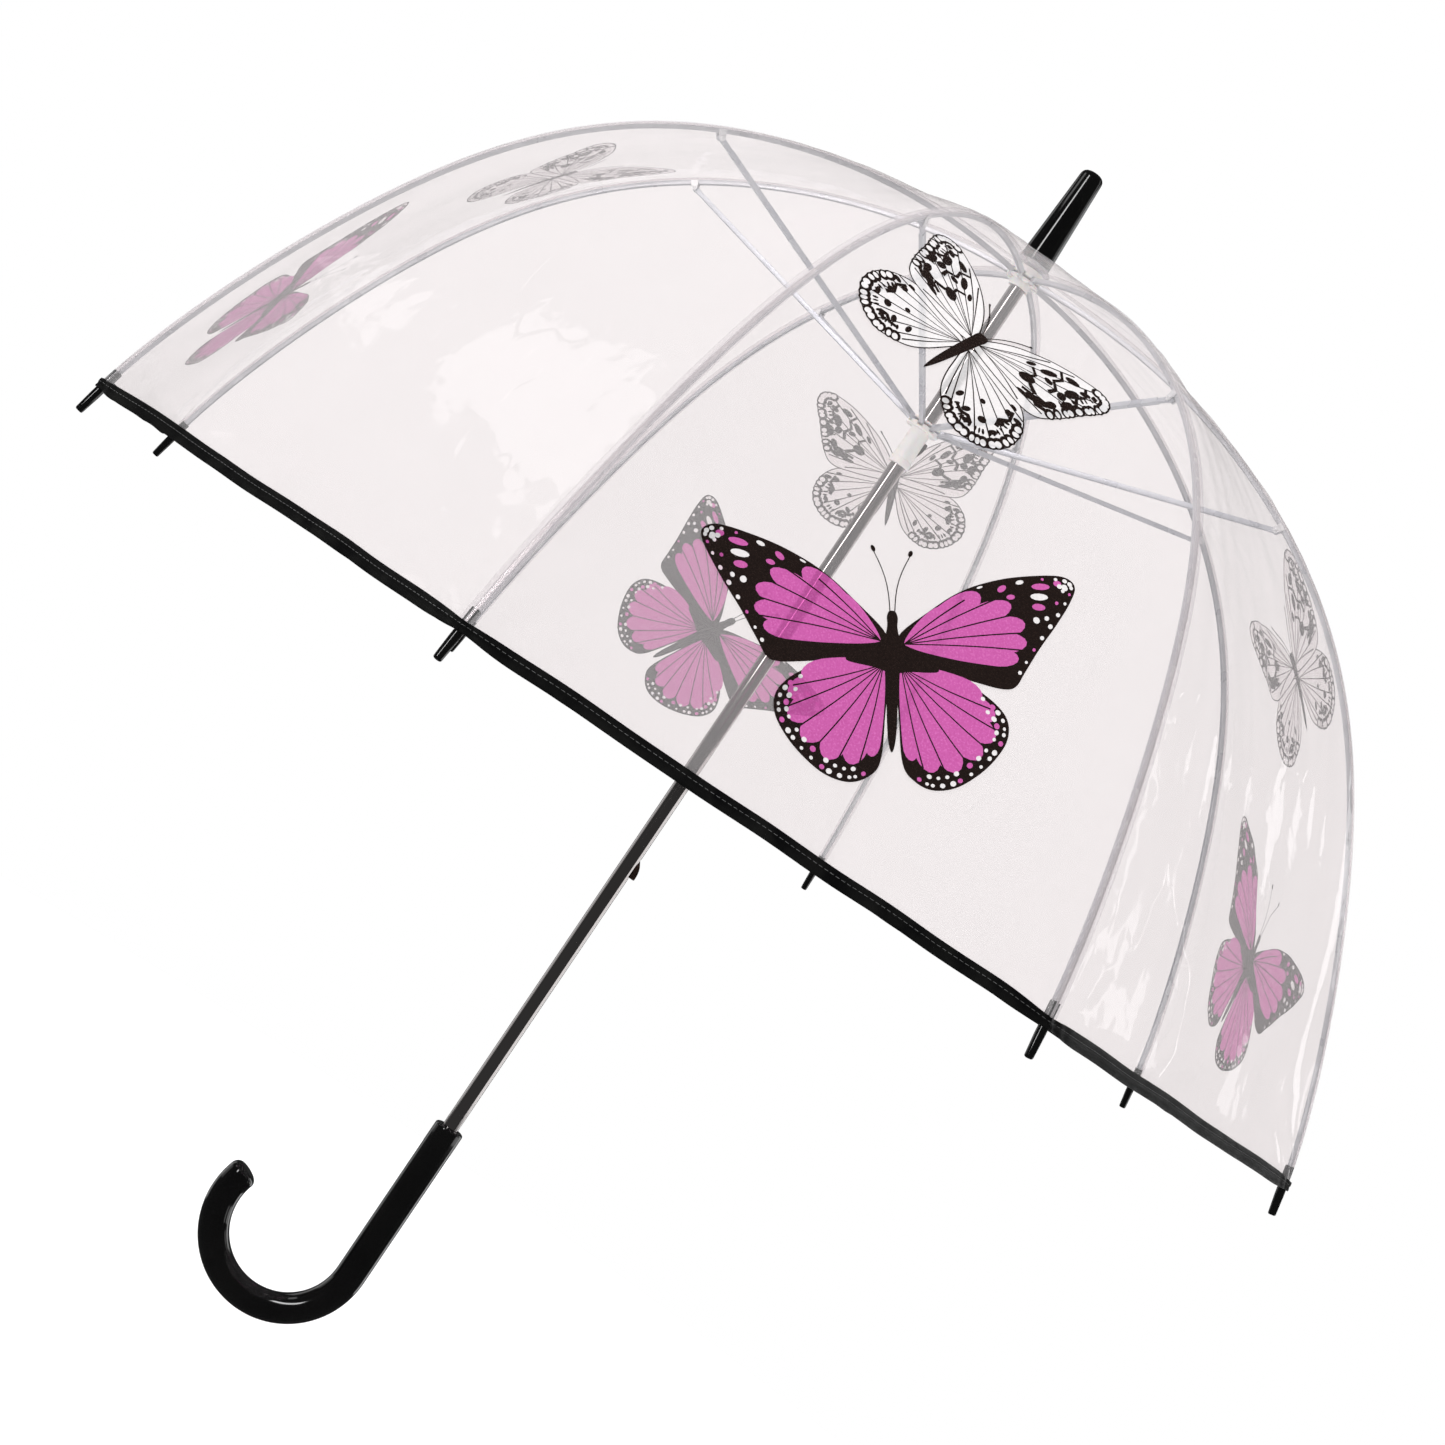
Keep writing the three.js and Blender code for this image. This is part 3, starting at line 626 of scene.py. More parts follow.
def add_handle():
    """A round bar bent into a hook, with eased ends and a recess where the shaft goes in."""
    length = HANDLE_STRAIGHT + HOOK_RADIUS * HOOK_SWEEP + HANDLE_RADIUS
    ease, end_ease = 1.6 * MM, 4.5 * MM
    stations = [(5 * MM, HANDLE_BORE), (0.7 * MM, HANDLE_BORE), (0.1 * MM, HANDLE_BORE + 0.7 * MM)]
    stations += [(ease - dy, HANDLE_RADIUS - ease + dx) for dx, dy in arc((0, 0), ease, 90, 0, 6)]
    stations += [(HANDLE_STRAIGHT * k / 12, HANDLE_RADIUS) for k in range(1, 12)]
    stations += [(HANDLE_STRAIGHT + (length - end_ease - HANDLE_STRAIGHT) * k / 90, HANDLE_RADIUS)
                 for k in range(90)]
    stations += [(length - end_ease + dy, HANDLE_RADIUS - end_ease + dx)
                 for dx, dy in arc((0, 0), end_ease, 0, 90, 8)]
    rings = []
    for along, radius in stations:
        (x, z), (dx, dz) = handle_place(along)
        circle = [(radius * cos(a), radius * sin(a)) for a in around(72)]
        rings.append([Vector((x - dz * side, across, z + dx * side)) for side, across in circle])
    handle = add_piece("hook_handle", skin(rings), BLACK)
    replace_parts(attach(handle, "stem"), "handle")


FERRULE_END_RADIUS = 7.4 * MM
FERRULE_BORE_DEPTH = 17 * MM
WASHER_NECK_RADIUS = 10.3 * MM
WASHER_EDGE = 1.2 * MM


def add_ferrule():
    """A tapering cap with a rounded end, hollow where the shaft goes in."""
    low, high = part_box("ferrule")
    corners = [(SHAFT_HOLE, low.z), ((high.x - low.x) / 2, low.z, 0.6 * MM),
               (FERRULE_END_RADIUS, high.z - 1.2 * MM, 4 * MM), (0.0, high.z)]
    profile = [(SHAFT_HOLE, low.z + FERRULE_BORE_DEPTH)] + rounded(corners, 0.6 * MM, 6)
    ferrule = add_piece("ferrule_spike", lathe(profile), BLACK)
    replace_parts(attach(ferrule, "stem"), "ferrule")


def add_cap_washer():
    """The clear collar that holds the film down, with a sloping top."""
    low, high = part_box("cap_washer")
    rim = (high.x - low.x) / 2
    corners = [(SHAFT_HOLE, low.z), (rim, low.z), (rim, low.z + WASHER_EDGE),
               (WASHER_NECK_RADIUS + 0.6 * MM, high.z - 0.3 * MM), (WASHER_NECK_RADIUS, high.z),
               (SHAFT_HOLE, high.z)]
    washer = add_piece("clear_washer", turned_ring(corners, 0.3 * MM, 3), CLEAR_PLASTIC)
    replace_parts(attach(washer, "stem"), "cap_washer")


NOTCH_HUB = 6.7 * MM  # radius of the core that the slots stop at
NOTCH_GROOVE = 7.9 * MM  # radius at the bottom of a tie wire's groove
SLOT_HALF = 1.8 * MM
SLOT_REACH = 2.6 * MM  # from a tie wire to a slot's closed end
WIRE_RADIUS = 0.5 * MM
WIRE_HOLE = 0.8 * MM
CROWN_SKIRT = 4 * MM  # height of the plain part below the crown's slots
RUNNER_FLOOR = 1 * MM  # thickness of the flange below the runner's slots
RUNNER_COLLAR_RADIUS = 7 * MM
RUNNER_COLLAR_HEIGHT = 4 * MM
RUNNER_SLEEVE_RADIUS = 6.4 * MM
WINDOW_HEIGHT = 16 * MM  # of the window in the runner's sleeve that the top catch comes through
WINDOW_HALF = 1.3 * MM
WINDOW_PLAY = 0.3 * MM
OUTSIDE = 20 * MM  # well past the outside of the crown notch and the runner


def radial_slots(bottom, top):
    """The shapes of the eight slots that the ribs or stretchers hinge in."""
    return [box_shape(turn, (NOTCH_HUB, -SLOT_HALF, bottom), (OUTSIDE, SLOT_HALF, top))
            for turn in RIB_HEADING.values()]


def grooved(rim, pivot, bottom, top):
    """A rim's outline, with the groove that its tie wire lies in."""
    return [(rim, bottom), (rim, pivot - WIRE_HOLE), (NOTCH_GROOVE, pivot - WIRE_HOLE),
            (NOTCH_GROOVE, pivot + WIRE_HOLE), (rim, pivot + WIRE_HOLE), (rim, top)]


def add_crown_notch():
    """The slotted hub inside the crown."""
    low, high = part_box("crown_notch")
    rim, pivot = (high.x - low.x) / 2, CROWN.z
    bottom = low.z + CROWN_SKIRT
    corners = [(SHAFT_HOLE, low.z), (NOTCH_HUB, low.z), (NOTCH_HUB, bottom),
               *grooved(rim, pivot, bottom, high.z), (SHAFT_HOLE, high.z)]
    notch = add_piece("notched_crown", turned_ring(corners, 0.3 * MM, 3), WHITE_PLASTIC)
    cut(notch, radial_slots(bottom - 1 * MM, pivot + SLOT_REACH))
    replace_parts(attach(notch, "stem"), "crown_notch")


def add_runner():
    """The sliding sleeve, with a slotted flange, a catch window and a collar to hold it by."""
    low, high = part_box("runner")
    rim, pivot = (high.x - low.x) / 2, RUNNER_Z
    bottom = pivot - SLOT_REACH - RUNNER_FLOOR
    collar, sleeve = RUNNER_COLLAR_RADIUS, RUNNER_SLEEVE_RADIUS
    collar_top = low.z + RUNNER_COLLAR_HEIGHT
    corners = [(SHAFT_HOLE, low.z), (collar, low.z, 1.2 * MM), (collar, collar_top, 0.8 * MM),
               (sleeve, collar_top + 0.8 * MM), (sleeve, bottom, 0.8 * MM),
               *grooved(rim, pivot, bottom, high.z), (SHAFT_HOLE, high.z)]
    runner = add_piece("notched_runner", turned_ring(corners, 0.35 * MM, 4), WHITE_PLASTIC)
    window_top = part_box("top_catch")[1].z + WINDOW_PLAY
    window = box_shape(0.0, (SHAFT_RADIUS - WINDOW_PLAY, -WINDOW_HALF, window_top - WINDOW_HEIGHT),
                       (OUTSIDE, WINDOW_HALF, window_top))
    cut(runner, [window, *radial_slots(pivot - SLOT_REACH, high.z + 1 * MM)])
    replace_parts(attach(runner, "runner_body"), "runner")


def add_wire(name, node, height, body):
    """The tie wire as a smooth ring."""
    turns = around(96)
    rings = [[placed(turn, CROWN_RADIUS + WIRE_RADIUS * cos(a), 0, height + WIRE_RADIUS * sin(a))
              for a in around(12)] for turn in turns + turns[:1]]
    wire = add_piece(name, skin(rings, caps=False), WIRE)
    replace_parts(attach(wire, body), node)


CATCH_ROOT = 1.5 * MM  # the inner part of the CAD catch, which the fin leaves out


def add_catch(name, node, body, step_up):
    """A thin spring fin: a full curve at one end, and a blunt holding step at the other."""
    low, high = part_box(node)
    length, proud = high.z - low.z, high.x - SHAFT_RADIUS
    inner = low.x + CATCH_ROOT
    corners = [(inner, 0), (SHAFT_RADIUS, 0), (SHAFT_RADIUS + 0.75 * proud, 0.35 * length, 3 * MM),
               (high.x, 0.72 * length, 3 * MM), (high.x, length, 0.9 * MM), (inner, length)]
    outline = rounded(corners, 0.4 * MM, 5, closed=True)
    if step_up:
        outline = [(r, low.z + z) for r, z in outline]
    else:
        outline = [(r, high.z - z) for r, z in reversed(outline)]
    fin = add_piece(name, radial_plate(0.0, outline, 0.0, high.y - low.y, 0.25 * MM), BROWN_STEEL)
    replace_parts(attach(fin, body), node)


# ---- Ribs, stretchers and tips ----
RIB_HALF = 1.5 * MM
RIB_HALF_DEPTH = 1.4 * MM
RIB_WALL = 0.55 * MM
RIB_HOLLOW_TOP = 0.35 * MM  # inside top of the rib's channel, above its centre line
ARM_HALF = 1.5 * MM
ARM_WALL = 0.6 * MM
ARM_HOLLOW_TOP = 0.85 * MM
INNER_LUG_WIDTH = 3 * MM
OUTER_LUG_WIDTH = 2 * MM
CLIP_GAP_HALF = 1.75 * MM
CLIP_THICKNESS = 0.9 * MM
PIN_RADIUS = 0.7 * MM
PIN_HEAD_RADIUS = 1.2 * MM
TIP_COLLAR = 14 * MM  # how far a tip's collar reaches up from the hem's edge
TIP_STUB = 15 * MM  # how far a tip reaches down from there
TIP_RADIUS = 2.6 * MM
TIP_BORE = 2 * MM
TIP_FLOOR = -0.6 * MM  # the bottom of a tip's bore
TIP_SLIT_HALF = 1.1 * MM  # half of the gap between a tip's two prongs
TIP_SLIT_BOTTOM = 3.5 * MM
EYELET_RADIUS = 2.1 * MM
LUG_RADIUS = 1.9 * MM
LUG_HALF_HEIGHT = 1.3 * MM
LUG_LENGTH = 11 * MM
CHANNEL_START = 5 * MM  # from the runner's pivot to a stretcher's channel
CHANNEL_END = 10 * MM  # from a stretcher's channel to its clip


def channel(half, half_depth, wall, hollow_top):
    """A U-shaped section, open at the bottom, with eased corners."""
    inner = half - wall
    corners = [(-half, -half_depth), (-half, half_depth), (half, half_depth), (half, -half_depth),
               (inner, -half_depth), (inner, hollow_top), (-inner, hollow_top), (-inner, -half_depth)]
    return rounded(list(reversed(corners)), 0.3 * MM, 3, closed=True)


def rib_ring(turn, angle, section):
    """A section set square across a rib's centre line."""
    (r, z), (out_r, out_z) = rib_point(angle), dome_normal(angle)
    return [placed(turn, r + out_r * y, x, z + out_z * y) for x, y in section]


def paint_shade_on_sides(rib, turn):
    """Gives the channel's two flanks a darker copy of its steel as painted shade, and leaves its back the
    bright, lit copy.
    """
    across = Vector((-sin(turn), cos(turn), 0))
    rib.data.materials.append(RIB_SIDE_PAINTED_SHADE)
    for face in rib.data.polygons:
        # faces that look across the rib take the painted shade
        face.material_index = int(abs(face.normal.dot(across)) > 0.5)


def add_rib(number):
    """One springy channel from the crown to the tip."""
    turn = RIB_HEADING[number]
    last = acos(TIP_COLLAR * 0.35 / RIB_HEIGHT)
    angles = np.linspace(CROWN_ANGLE * 1.15, last, 120)
    section = channel(RIB_HALF, RIB_HALF_DEPTH, RIB_WALL, RIB_HOLLOW_TOP)
    rib = add_piece(f"rib_{number}", skin([rib_ring(turn, a, section) for a in angles]), RIB_STEEL, sharp=40)
    paint_shade_on_sides(rib, turn)
    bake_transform(rib)
    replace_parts(rib, f"rib_inner_{number}", f"rib_outer_{number}")


def domed_pin(radius, head, half_length):
    """Half profiles of a pin with domed heads, as (radius, across)."""
    cap = [(head * cos(radians(a)), half_length + 0.5 * head * sin(radians(a)))
           for a in (90, 70, 50, 25, 0)]
    side = cap + [(radius, half_length)]
    return side + [(r, -across) for r, across in reversed(side)]


def add_rib_fittings(number):
    """The crown eyelet and the riveted clip that holds the stretcher."""
    turn = RIB_HEADING[number]
    ring = rounded([(WIRE_HOLE, -RIB_HALF), (EYELET_RADIUS, -RIB_HALF), (EYELET_RADIUS, RIB_HALF),
                    (WIRE_HOLE, RIB_HALF)], 0.3 * MM, 3, closed=True)
    eyelet = cross_lathe(turn, CROWN_RADIUS, CROWN.z, ring + ring[:1])
    clip = Vector((CLIP_RADIUS, CLIP.z))
    tries = np.linspace(EASE_ANGLE, FLEX_ANGLE, 400)
    clip_angle = min(tries, key=lambda angle: (Vector(rib_point(angle)) - clip).length)
    (r, z), (out_r, out_z) = rib_point(clip_angle), dome_normal(clip_angle)
    tilt = degrees(atan2(out_z, out_r))
    wide = 2.6 * LUG_RADIUS
    foot = [(r + out_z * side * wide / 2 + out_r * up, z - out_r * side * wide / 2 + out_z * up)
            for side, up in ((1, -0.6 * MM), (1, 0.9 * MM), (-1, 0.9 * MM), (-1, -0.6 * MM))]
    outline = foot + arc((CLIP_RADIUS, CLIP.z), LUG_RADIUS, tilt + 90, tilt + 270, 14)
    middle, outside = CLIP_GAP_HALF + CLIP_THICKNESS / 2, CLIP_GAP_HALF + CLIP_THICKNESS
    cheeks = [radial_plate(turn, outline, side * middle, CLIP_THICKNESS, 0.2 * MM) for side in (-1, 1)]
    rivet = cross_lathe(turn, CLIP_RADIUS, CLIP.z, domed_pin(PIN_RADIUS, PIN_HEAD_RADIUS, outside))
    fittings = add_piece(f"rib_fittings_{number}", together([eyelet, *cheeks, rivet]), RIB_STEEL, sharp=40)
    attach(fittings, f"rib_inner_{number}_body")


def add_stretcher(number):
    """A thin channel from the runner to the clip, flattened into a lug at each end."""
    turn = RIB_HEADING[number]
    start, end = Vector((CROWN_RADIUS, RUNNER_Z)), Vector((CLIP_RADIUS, CLIP.z))
    length, along = (end - start).length, (end - start).normalized()
    across_arm = Vector((-along.y, along.x))

    def spot(distance, side):
        return start + along * distance + across_arm * side

    section = channel(ARM_HALF, ARM_HALF, ARM_WALL, ARM_HOLLOW_TOP)
    stations = np.linspace(CHANNEL_START, length - CHANNEL_END, 25)
    arm = skin([[placed(turn, spot(d, -y).x, x, spot(d, -y).y) for x, y in section] for d in stations])

    def lug(centre, away, width):
        tip = arc((0, 0), LUG_RADIUS, 60, 300, 16)
        shape = tip + [(LUG_LENGTH, -LUG_HALF_HEIGHT), (LUG_LENGTH, LUG_HALF_HEIGHT)]
        local = [spot(centre + away * x, away * y) for x, y in shape]
        return radial_plate(turn, [tuple(p) for p in local], 0.0, width, 0.2 * MM)

    parts = [arm, lug(0, 1, INNER_LUG_WIDTH), lug(length, -1, OUTER_LUG_WIDTH)]
    stretcher = add_piece(f"stretcher_arm_{number}", together(parts), ARM_STEEL, sharp=40)
    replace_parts(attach(stretcher, f"stretcher_{number}_body"), f"stretcher_{number}")


def add_tip(number):
    """A moulded tip: a round stub below the hem, and a collar with two prongs that hold the rib."""
    turn = RIB_HEADING[number]
    narrow = TIP_RADIUS - 0.35 * MM
    corners = [(0, -TIP_STUB), (narrow, -TIP_STUB, 1.3 * MM), (TIP_RADIUS, -3 * MM),
               (TIP_RADIUS, TIP_COLLAR, 0.25 * MM), (TIP_BORE, TIP_COLLAR, 0.1 * MM), (TIP_BORE, TIP_FLOOR),
               (0, TIP_FLOOR)]
    verts, faces = lathe(rounded(corners, 0.3 * MM, 5), 48)
    tip = add_piece(f"rib_tip_{number}", ([leaned(turn, *point) for point in verts], faces), BLACK)
    inner, outer, half = 0.6 * MM, 6 * MM, TIP_SLIT_HALF
    slit = ((inner, -half), (outer, -half), (outer, half), (inner, half))
    heights = (TIP_SLIT_BOTTOM, TIP_COLLAR + 1 * MM)
    cut(tip, [skin([[leaned(turn, x, y, z) for x, y in slit] for z in heights])])
    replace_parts(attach(tip, f"rib_outer_{number}_body"), f"tip_{number}")


# ---- Film ----
FILM_LAYER = 0.3 * MM  # from the dome's outside in to the film's middle
SAG = 2.5 * MM  # how far the film hangs in halfway between two ribs
SEAM_DIP = 1.3 * MM  # how much nearer the rib the film lies at a seam
SLACK_GORES = (2, 3)  # these hang a little looser, in fine upright wrinkles

# A gore's middle, from the crown to the hem: angles from the dome's top, and the distance along it to each.
CURVE_ANGLES = np.linspace(START_ANGLE, pi / 2, 4000)
CURVE_STEPS = np.hypot(np.diff(dome_reach(DOME_RADIUS, CURVE_ANGLES) * cos(HALF_GORE)),
                  np.diff(DOME_HEIGHT * np.cos(CURVE_ANGLES)))
CURVE_LENGTHS = np.concatenate(([0.0], np.cumsum(CURVE_STEPS)))
FILM_LENGTH = float(CURVE_LENGTHS[-1])


def rise_of(angle):
    """The distance up a gore's middle from the hem's edge, at an angle from the dome's top."""
    return FILM_LENGTH - float(np.interp(angle, CURVE_ANGLES, CURVE_LENGTHS))


def angle_of(rise):
    """The opposite of rise_of."""
    return float(np.interp(FILM_LENGTH - rise, CURVE_LENGTHS, CURVE_ANGLES))


FLEX_RISE = rise_of(FLEX_ANGLE)


def half_width(angle):
    """Half of a gore's width at an angle from the dome's top."""
    return dome_reach(DOME_RADIUS, angle) * sin(HALF_GORE)


def film_relief(number, rise, across, half):
    """How far the film stands out from its flat span: sag, soft waves, and puckers at seams and tips."""
    edge = half - abs(across)
    held = 1 - exp(-max(edge, 0.0) / (5 * MM))
    sag = -SAG * (1 - (across / half) ** 2) * sin(pi * min(1.0, rise / FILM_LENGTH))
    broad = 1.5 * MM * noise.noise(Vector((across / (55 * MM), rise / (95 * MM), 7.3 * number)))
    slack = 0.95 if number in SLACK_GORES else 0.35
    drawn = slack * MM * noise.noise(Vector((across / (11 * MM), rise / (190 * MM), 3.1 * number + 40)))
    beat = 2.5 * noise.noise(Vector((rise / (60 * MM), 0.5, 5.7 * number + copysign(9, across))))
    pucker = 0.4 * MM * exp(-edge / (13 * MM)) * sin(2 * pi * rise / (21 * MM) + beat)
    corner = exp(-hypot(edge, rise) / (48 * MM))
    ray = 1.5 * MM * corner * sin(11 * atan2(rise, edge + 1 * MM) + 2.0 * number)
    dip = -SEAM_DIP * exp(-max(edge, 0.0) / (7 * MM))
    free = min(1.0, max(0.0, rise / HEM_HEIGHT - 1.1))
    return sag + dip + free * held * (broad + drawn + pucker + ray)


def film_place(number, rise, across, lift=0.0):
    """A point on a gore's film, from its distance up from the hem and across from the middle."""
    angle = angle_of(rise)
    half = half_width(angle)
    out_r, out_z = dome_normal(angle, DOME_RADIUS, DOME_HEIGHT, cos(HALF_GORE))
    proud = film_relief(number, rise, across, half) + lift - FILM_LAYER
    below = min(0.0, rise)
    r = dome_reach(DOME_RADIUS, angle) * cos(HALF_GORE) + out_r * proud
    z = RIM_Z + DOME_HEIGHT * cos(angle) + out_z * proud + below
    return placed(GORE_HEADING[number], r, across, z)


def fold_with_canopy(piece, number, part):
    """The piece rides on its half of a gore, with a mesh of its own."""
    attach(piece, f"gore_{part}_{number}_body")
    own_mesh(piece)


def gore_columns():
    """Positions across a gore, from -1 to 1, closer together towards the seams."""
    even = np.linspace(-1, 1, 47)
    return 0.45 * even + 0.55 * np.sin(even * pi / 2)


def gore_rows():
    """Rows of a gore from the crown to the hem, and which of them is where the gore bends."""
    upper = np.linspace(START_ANGLE, FLEX_ANGLE, 74)
    lower = np.linspace(FLEX_ANGLE, angle_of(4 * MM), 70)
    return [float(a) for a in upper] + [float(a) for a in lower[1:]], len(upper) - 1


def add_gore(number, trims):
    """One gore of film in its two halves, which share the row of points where the gore bends."""
    rows, bend = gore_rows()
    columns = gore_columns()
    grid = []
    for angle in rows:
        half = half_width(angle)
        grid.append([film_place(number, rise_of(angle), c * half) for c in columns])
    whole = bpy.data.meshes.new("whole_gore")
    verts, faces = skin(grid, caps=False, loop=False)
    whole.from_pydata([tuple(v) for v in verts], [], faces)
    normals = [tuple(n.vector) for n in whole.vertex_normals]
    width = len(columns)
    for part, first, last in (("inner", 0, bend), ("outer", bend, len(rows) - 1)):
        film = add_piece(f"film_{part}_{number}", skin(grid[first:last + 1], caps=False, loop=False), FILM,
                         sharp=180, weld=False)
        film.data.normals_split_custom_set_from_vertices(normals[first * width:(last + 1) * width])
        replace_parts(film, f"gore_{part}_{number}")
        fold_with_canopy(film, number, part)
    bpy.data.meshes.remove(whole)


STITCH_RISE = 0.62 * HEM_HEIGHT  # the line of stitches, above the hem's edge


def hem_gather(half, across):
    """0 along most of the hem, growing to 1 at a tip, where it is drawn in."""
    return exp(-(((half - abs(across)) / (15 * MM)) ** 2))


def hem_place(number, rise, across, lift):
    """A point on the hem tape. The tape narrows and puckers as it nears a tip."""
    half = half_width(pi / 2)
    gather = hem_gather(half, across)
    middle = 0.55 * HEM_HEIGHT
    wander = 1.0 * MM * noise.noise(Vector((across / (45 * MM), 0.3, 4.1 * number)))
    rise = middle + (rise - middle) * (1 - 0.3 * gather) + wander * (1 - gather)
    wave = 0.22 * MM * noise.noise(Vector((across / (16 * MM), rise / (9 * MM), 2.9 * number)))
    fold = 0.7 * MM * gather * sin(across / (1.6 * MM) + rise / (2.4 * MM))
    base = film_place(number, rise, across, lift + FILM_LAYER)
    out = Vector((cos(GORE_HEADING[number]), sin(GORE_HEADING[number]), 0))
    return base + out * (wave + fold)


def add_hem(number):
    """Black tape folded over the film's edge, with an outer layer that is turned under halfway down."""
    half = half_width(pi / 2)
    top = HEM_HEIGHT / MM
    # (distance out from the film, height above the hem's edge), in millimetres
    outline = [(0.35, top), (0.62, top - 0.3), (0.7, top - 1.4), (0.7, 0.62 * top), (0.64, 0.53 * top),
               (0.4, 0.49 * top), (0.42, 0.3 * top), (0.42, 1.2), (0.25, 0.35), (0, 0.1), (-0.25, 0.35),
               (-0.45, 1.2), (-0.5, 0.4 * top), (-0.5, top - 0.3), (-0.3, top)]
    rings = []
    for c in np.linspace(-1, 1, 131):
        rings.append([hem_place(number, rise * MM, c * half, lift * MM) for lift, rise in outline])
    hem = add_piece(f"hem_{number}", skin(rings), TAPE, sharp=50)
    fold_with_canopy(hem, number, "outer")
    return hem


def add_stitches(number):
    """Lock stitches along the hem, outside and inside."""
    half = half_width(pi / 2)
    pitch, length, radius = 3.1 * MM, 2.2 * MM, 0.14 * MM
    count = int(2 * half / pitch)
    parts = []
    for lift in (0.78 * MM, -0.56 * MM):
        for k in range(count):
            start = -half + (k + 0.5) * (2 * half / count) - length / 2
            rings = []
            for step in (0, 0.15, 0.5, 0.85, 1):
                thick = radius * (0.35 if step in (0, 1) else 1)
                across = start + length * step
                rings.append([hem_place(number, STITCH_RISE + thick * cos(a), across,
                                        lift + thick * sin(a)) for a in (0.8, 2.4, 3.9, 5.5)])
            parts.append(skin(rings))
    stitches = add_piece(f"hem_stitches_{number}", together(parts), THREAD, weld=False)
    fold_with_canopy(stitches, number, "outer")
    return stitches


SEAM_HALF = 3.6 * MM
WELD_LINE = 3.1 * MM  # from a seam's middle
SEAM_START_RADIUS = 13.5 * MM


def add_seam(number):
    """The overlap of two gores, welded along both sides of the rib that runs under it."""
    turn = RIB_HEADING[number]
    slope = tan(HALF_GORE)
    outline = []
    for x in np.linspace(-1, 1, 19):
        across = SEAM_HALF * float(x)
        roof = -slope * sqrt(across ** 2 + (1.2 * MM) ** 2) + slope * 0.7 * MM - SEAM_DIP
        weld = 0.15 * MM * exp(-(((abs(across) - WELD_LINE) / (0.3 * MM)) ** 2))
        outline.append((across, roof, 0.35 * MM + weld))
    section = [(x, y + lift) for x, y, lift in outline]
    section += [(x, y - 0.05 * MM) for x, y, _ in reversed(outline)]
    first = asin(SEAM_START_RADIUS / DOME_RADIUS)
    last = acos(0.9 * HEM_HEIGHT / DOME_HEIGHT)
    rings = []
    for angle in np.linspace(first, last, 180):
        out_r, out_z = dome_normal(angle, DOME_RADIUS, DOME_HEIGHT)
        r, z = dome_reach(DOME_RADIUS, angle), RIM_Z + DOME_HEIGHT * cos(angle)
        narrow = min(1.0, r / (60 * MM) + 0.35)
        rings.append([placed(turn, r + out_r * y * narrow, x * narrow, z + out_z * y * narrow)
                      for x, y in section])
    seam = add_piece(f"seam_{number}", skin(rings), SEAM_FILM, sharp=60)
    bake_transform(seam)
    return seam


# ---- Prints: generic butterflies, drawn in millimetres about the body's middle, right wing first ----
PINK, DARK, WHITE = 0, 1, 2
PRINT_LIFT = 0.28 * MM  # how far the ink stands off the dome's outside


def smooth_loop(points, steps=6):
    """A closed Catmull-Rom curve through a few points."""
    points = [Vector(p) for p in points]
    count, curve = len(points), []
    for k in range(count):
        p0, p1, p2, p3 = (points[(k + j) % count] for j in (-1, 0, 1, 2))
        for step in range(steps):
            t = step / steps
            curve.append(0.5 * (2 * p1 + (p2 - p0) * t + (2 * p0 - 5 * p1 + 4 * p2 - p3) * t ** 2
                                + (3 * p1 - p0 - 3 * p2 + p3) * t ** 3))
    return [tuple(p) for p in curve]


def petal(base, end, width, full=0.72, steps=14):
    """A drop-shaped cell, narrow at its base and round at its far end."""
    base, end = Vector(base), Vector(end)
    along, side = end - base, Vector((base.y - end.y, end.x - base.x)).normalized()
    left, right = [], []
    for k in range(steps + 1):
        t = 0.5 - 0.5 * cos(pi * k / steps)
        if t < full:
            half = width / 2 * sin(t / full * pi / 2) ** 0.6
        else:
            half = width / 2 * sqrt(max(0.0, 1 - ((t - full) / (1 - full)) ** 2))
        left.append(tuple(base + along * t + side * half))
        right.append(tuple(base + along * t - side * half))
    return right + left[-2:0:-1]


def stroke(points, start_width, end_width):
    """A thin tapering line through a few points."""
    path = [Vector(p) for p in points]
    left, right = [], []
    for k, point in enumerate(path):
        along = path[min(k + 1, len(path) - 1)] - path[max(k - 1, 0)]
        half = (start_width + (end_width - start_width) * k / (len(path) - 1)) / 2
        side = Vector((-along.y, along.x)).normalized() * half
        left.append(tuple(point + side))
        right.append(tuple(point - side))
    return right + left[::-1]


def bent_line(start, end, bow, steps=7):
    """Points from start to end, bowed to one side."""
    start, end = Vector(start), Vector(end)
    side = Vector((start.y - end.y, end.x - start.x)).normalized()
    return [tuple(start.lerp(end, k / steps) + side * bow * sin(pi * k / steps))
            for k in range(steps + 1)]


def oval(centre, length, width, lean, steps=12):
    """A small ellipse, its long axis leaning that many degrees from the wing's own x axis."""
    turn = radians(lean)
    c, s = cos(turn), sin(turn)
    points = [(length / 2 * cos(a), width / 2 * sin(a)) for a in around(steps)]
    return [(centre[0] + x * c - y * s, centre[1] + x * s + y * c) for x, y in points]


def margin_dots(outline, first, last, count, depth, size):
    """Dots set in from a stretch of a wing's edge: each one's centre, its size and the edge's lean there."""
    inner = inset(outline, depth)
    spots = []
    for k in range(count):
        place = int(first + (last - first) * (k + 0.5) / count) % len(inner)
        along = Vector(inner[(place + 1) % len(inner)]) - Vector(inner[place - 1])
        lean = degrees(atan2(along.y, along.x))
        spots.append((inner[place], size * (1 + 0.25 * sin(5.1 * k)), lean))
    return spots


def anticlockwise(outline):
    """The outline, reversed if it runs clockwise."""
    area = sum(a[0] * b[1] - b[0] * a[1] for a, b in zip(outline, outline[1:] + outline[:1]))
    return outline if area > 0 else outline[::-1]


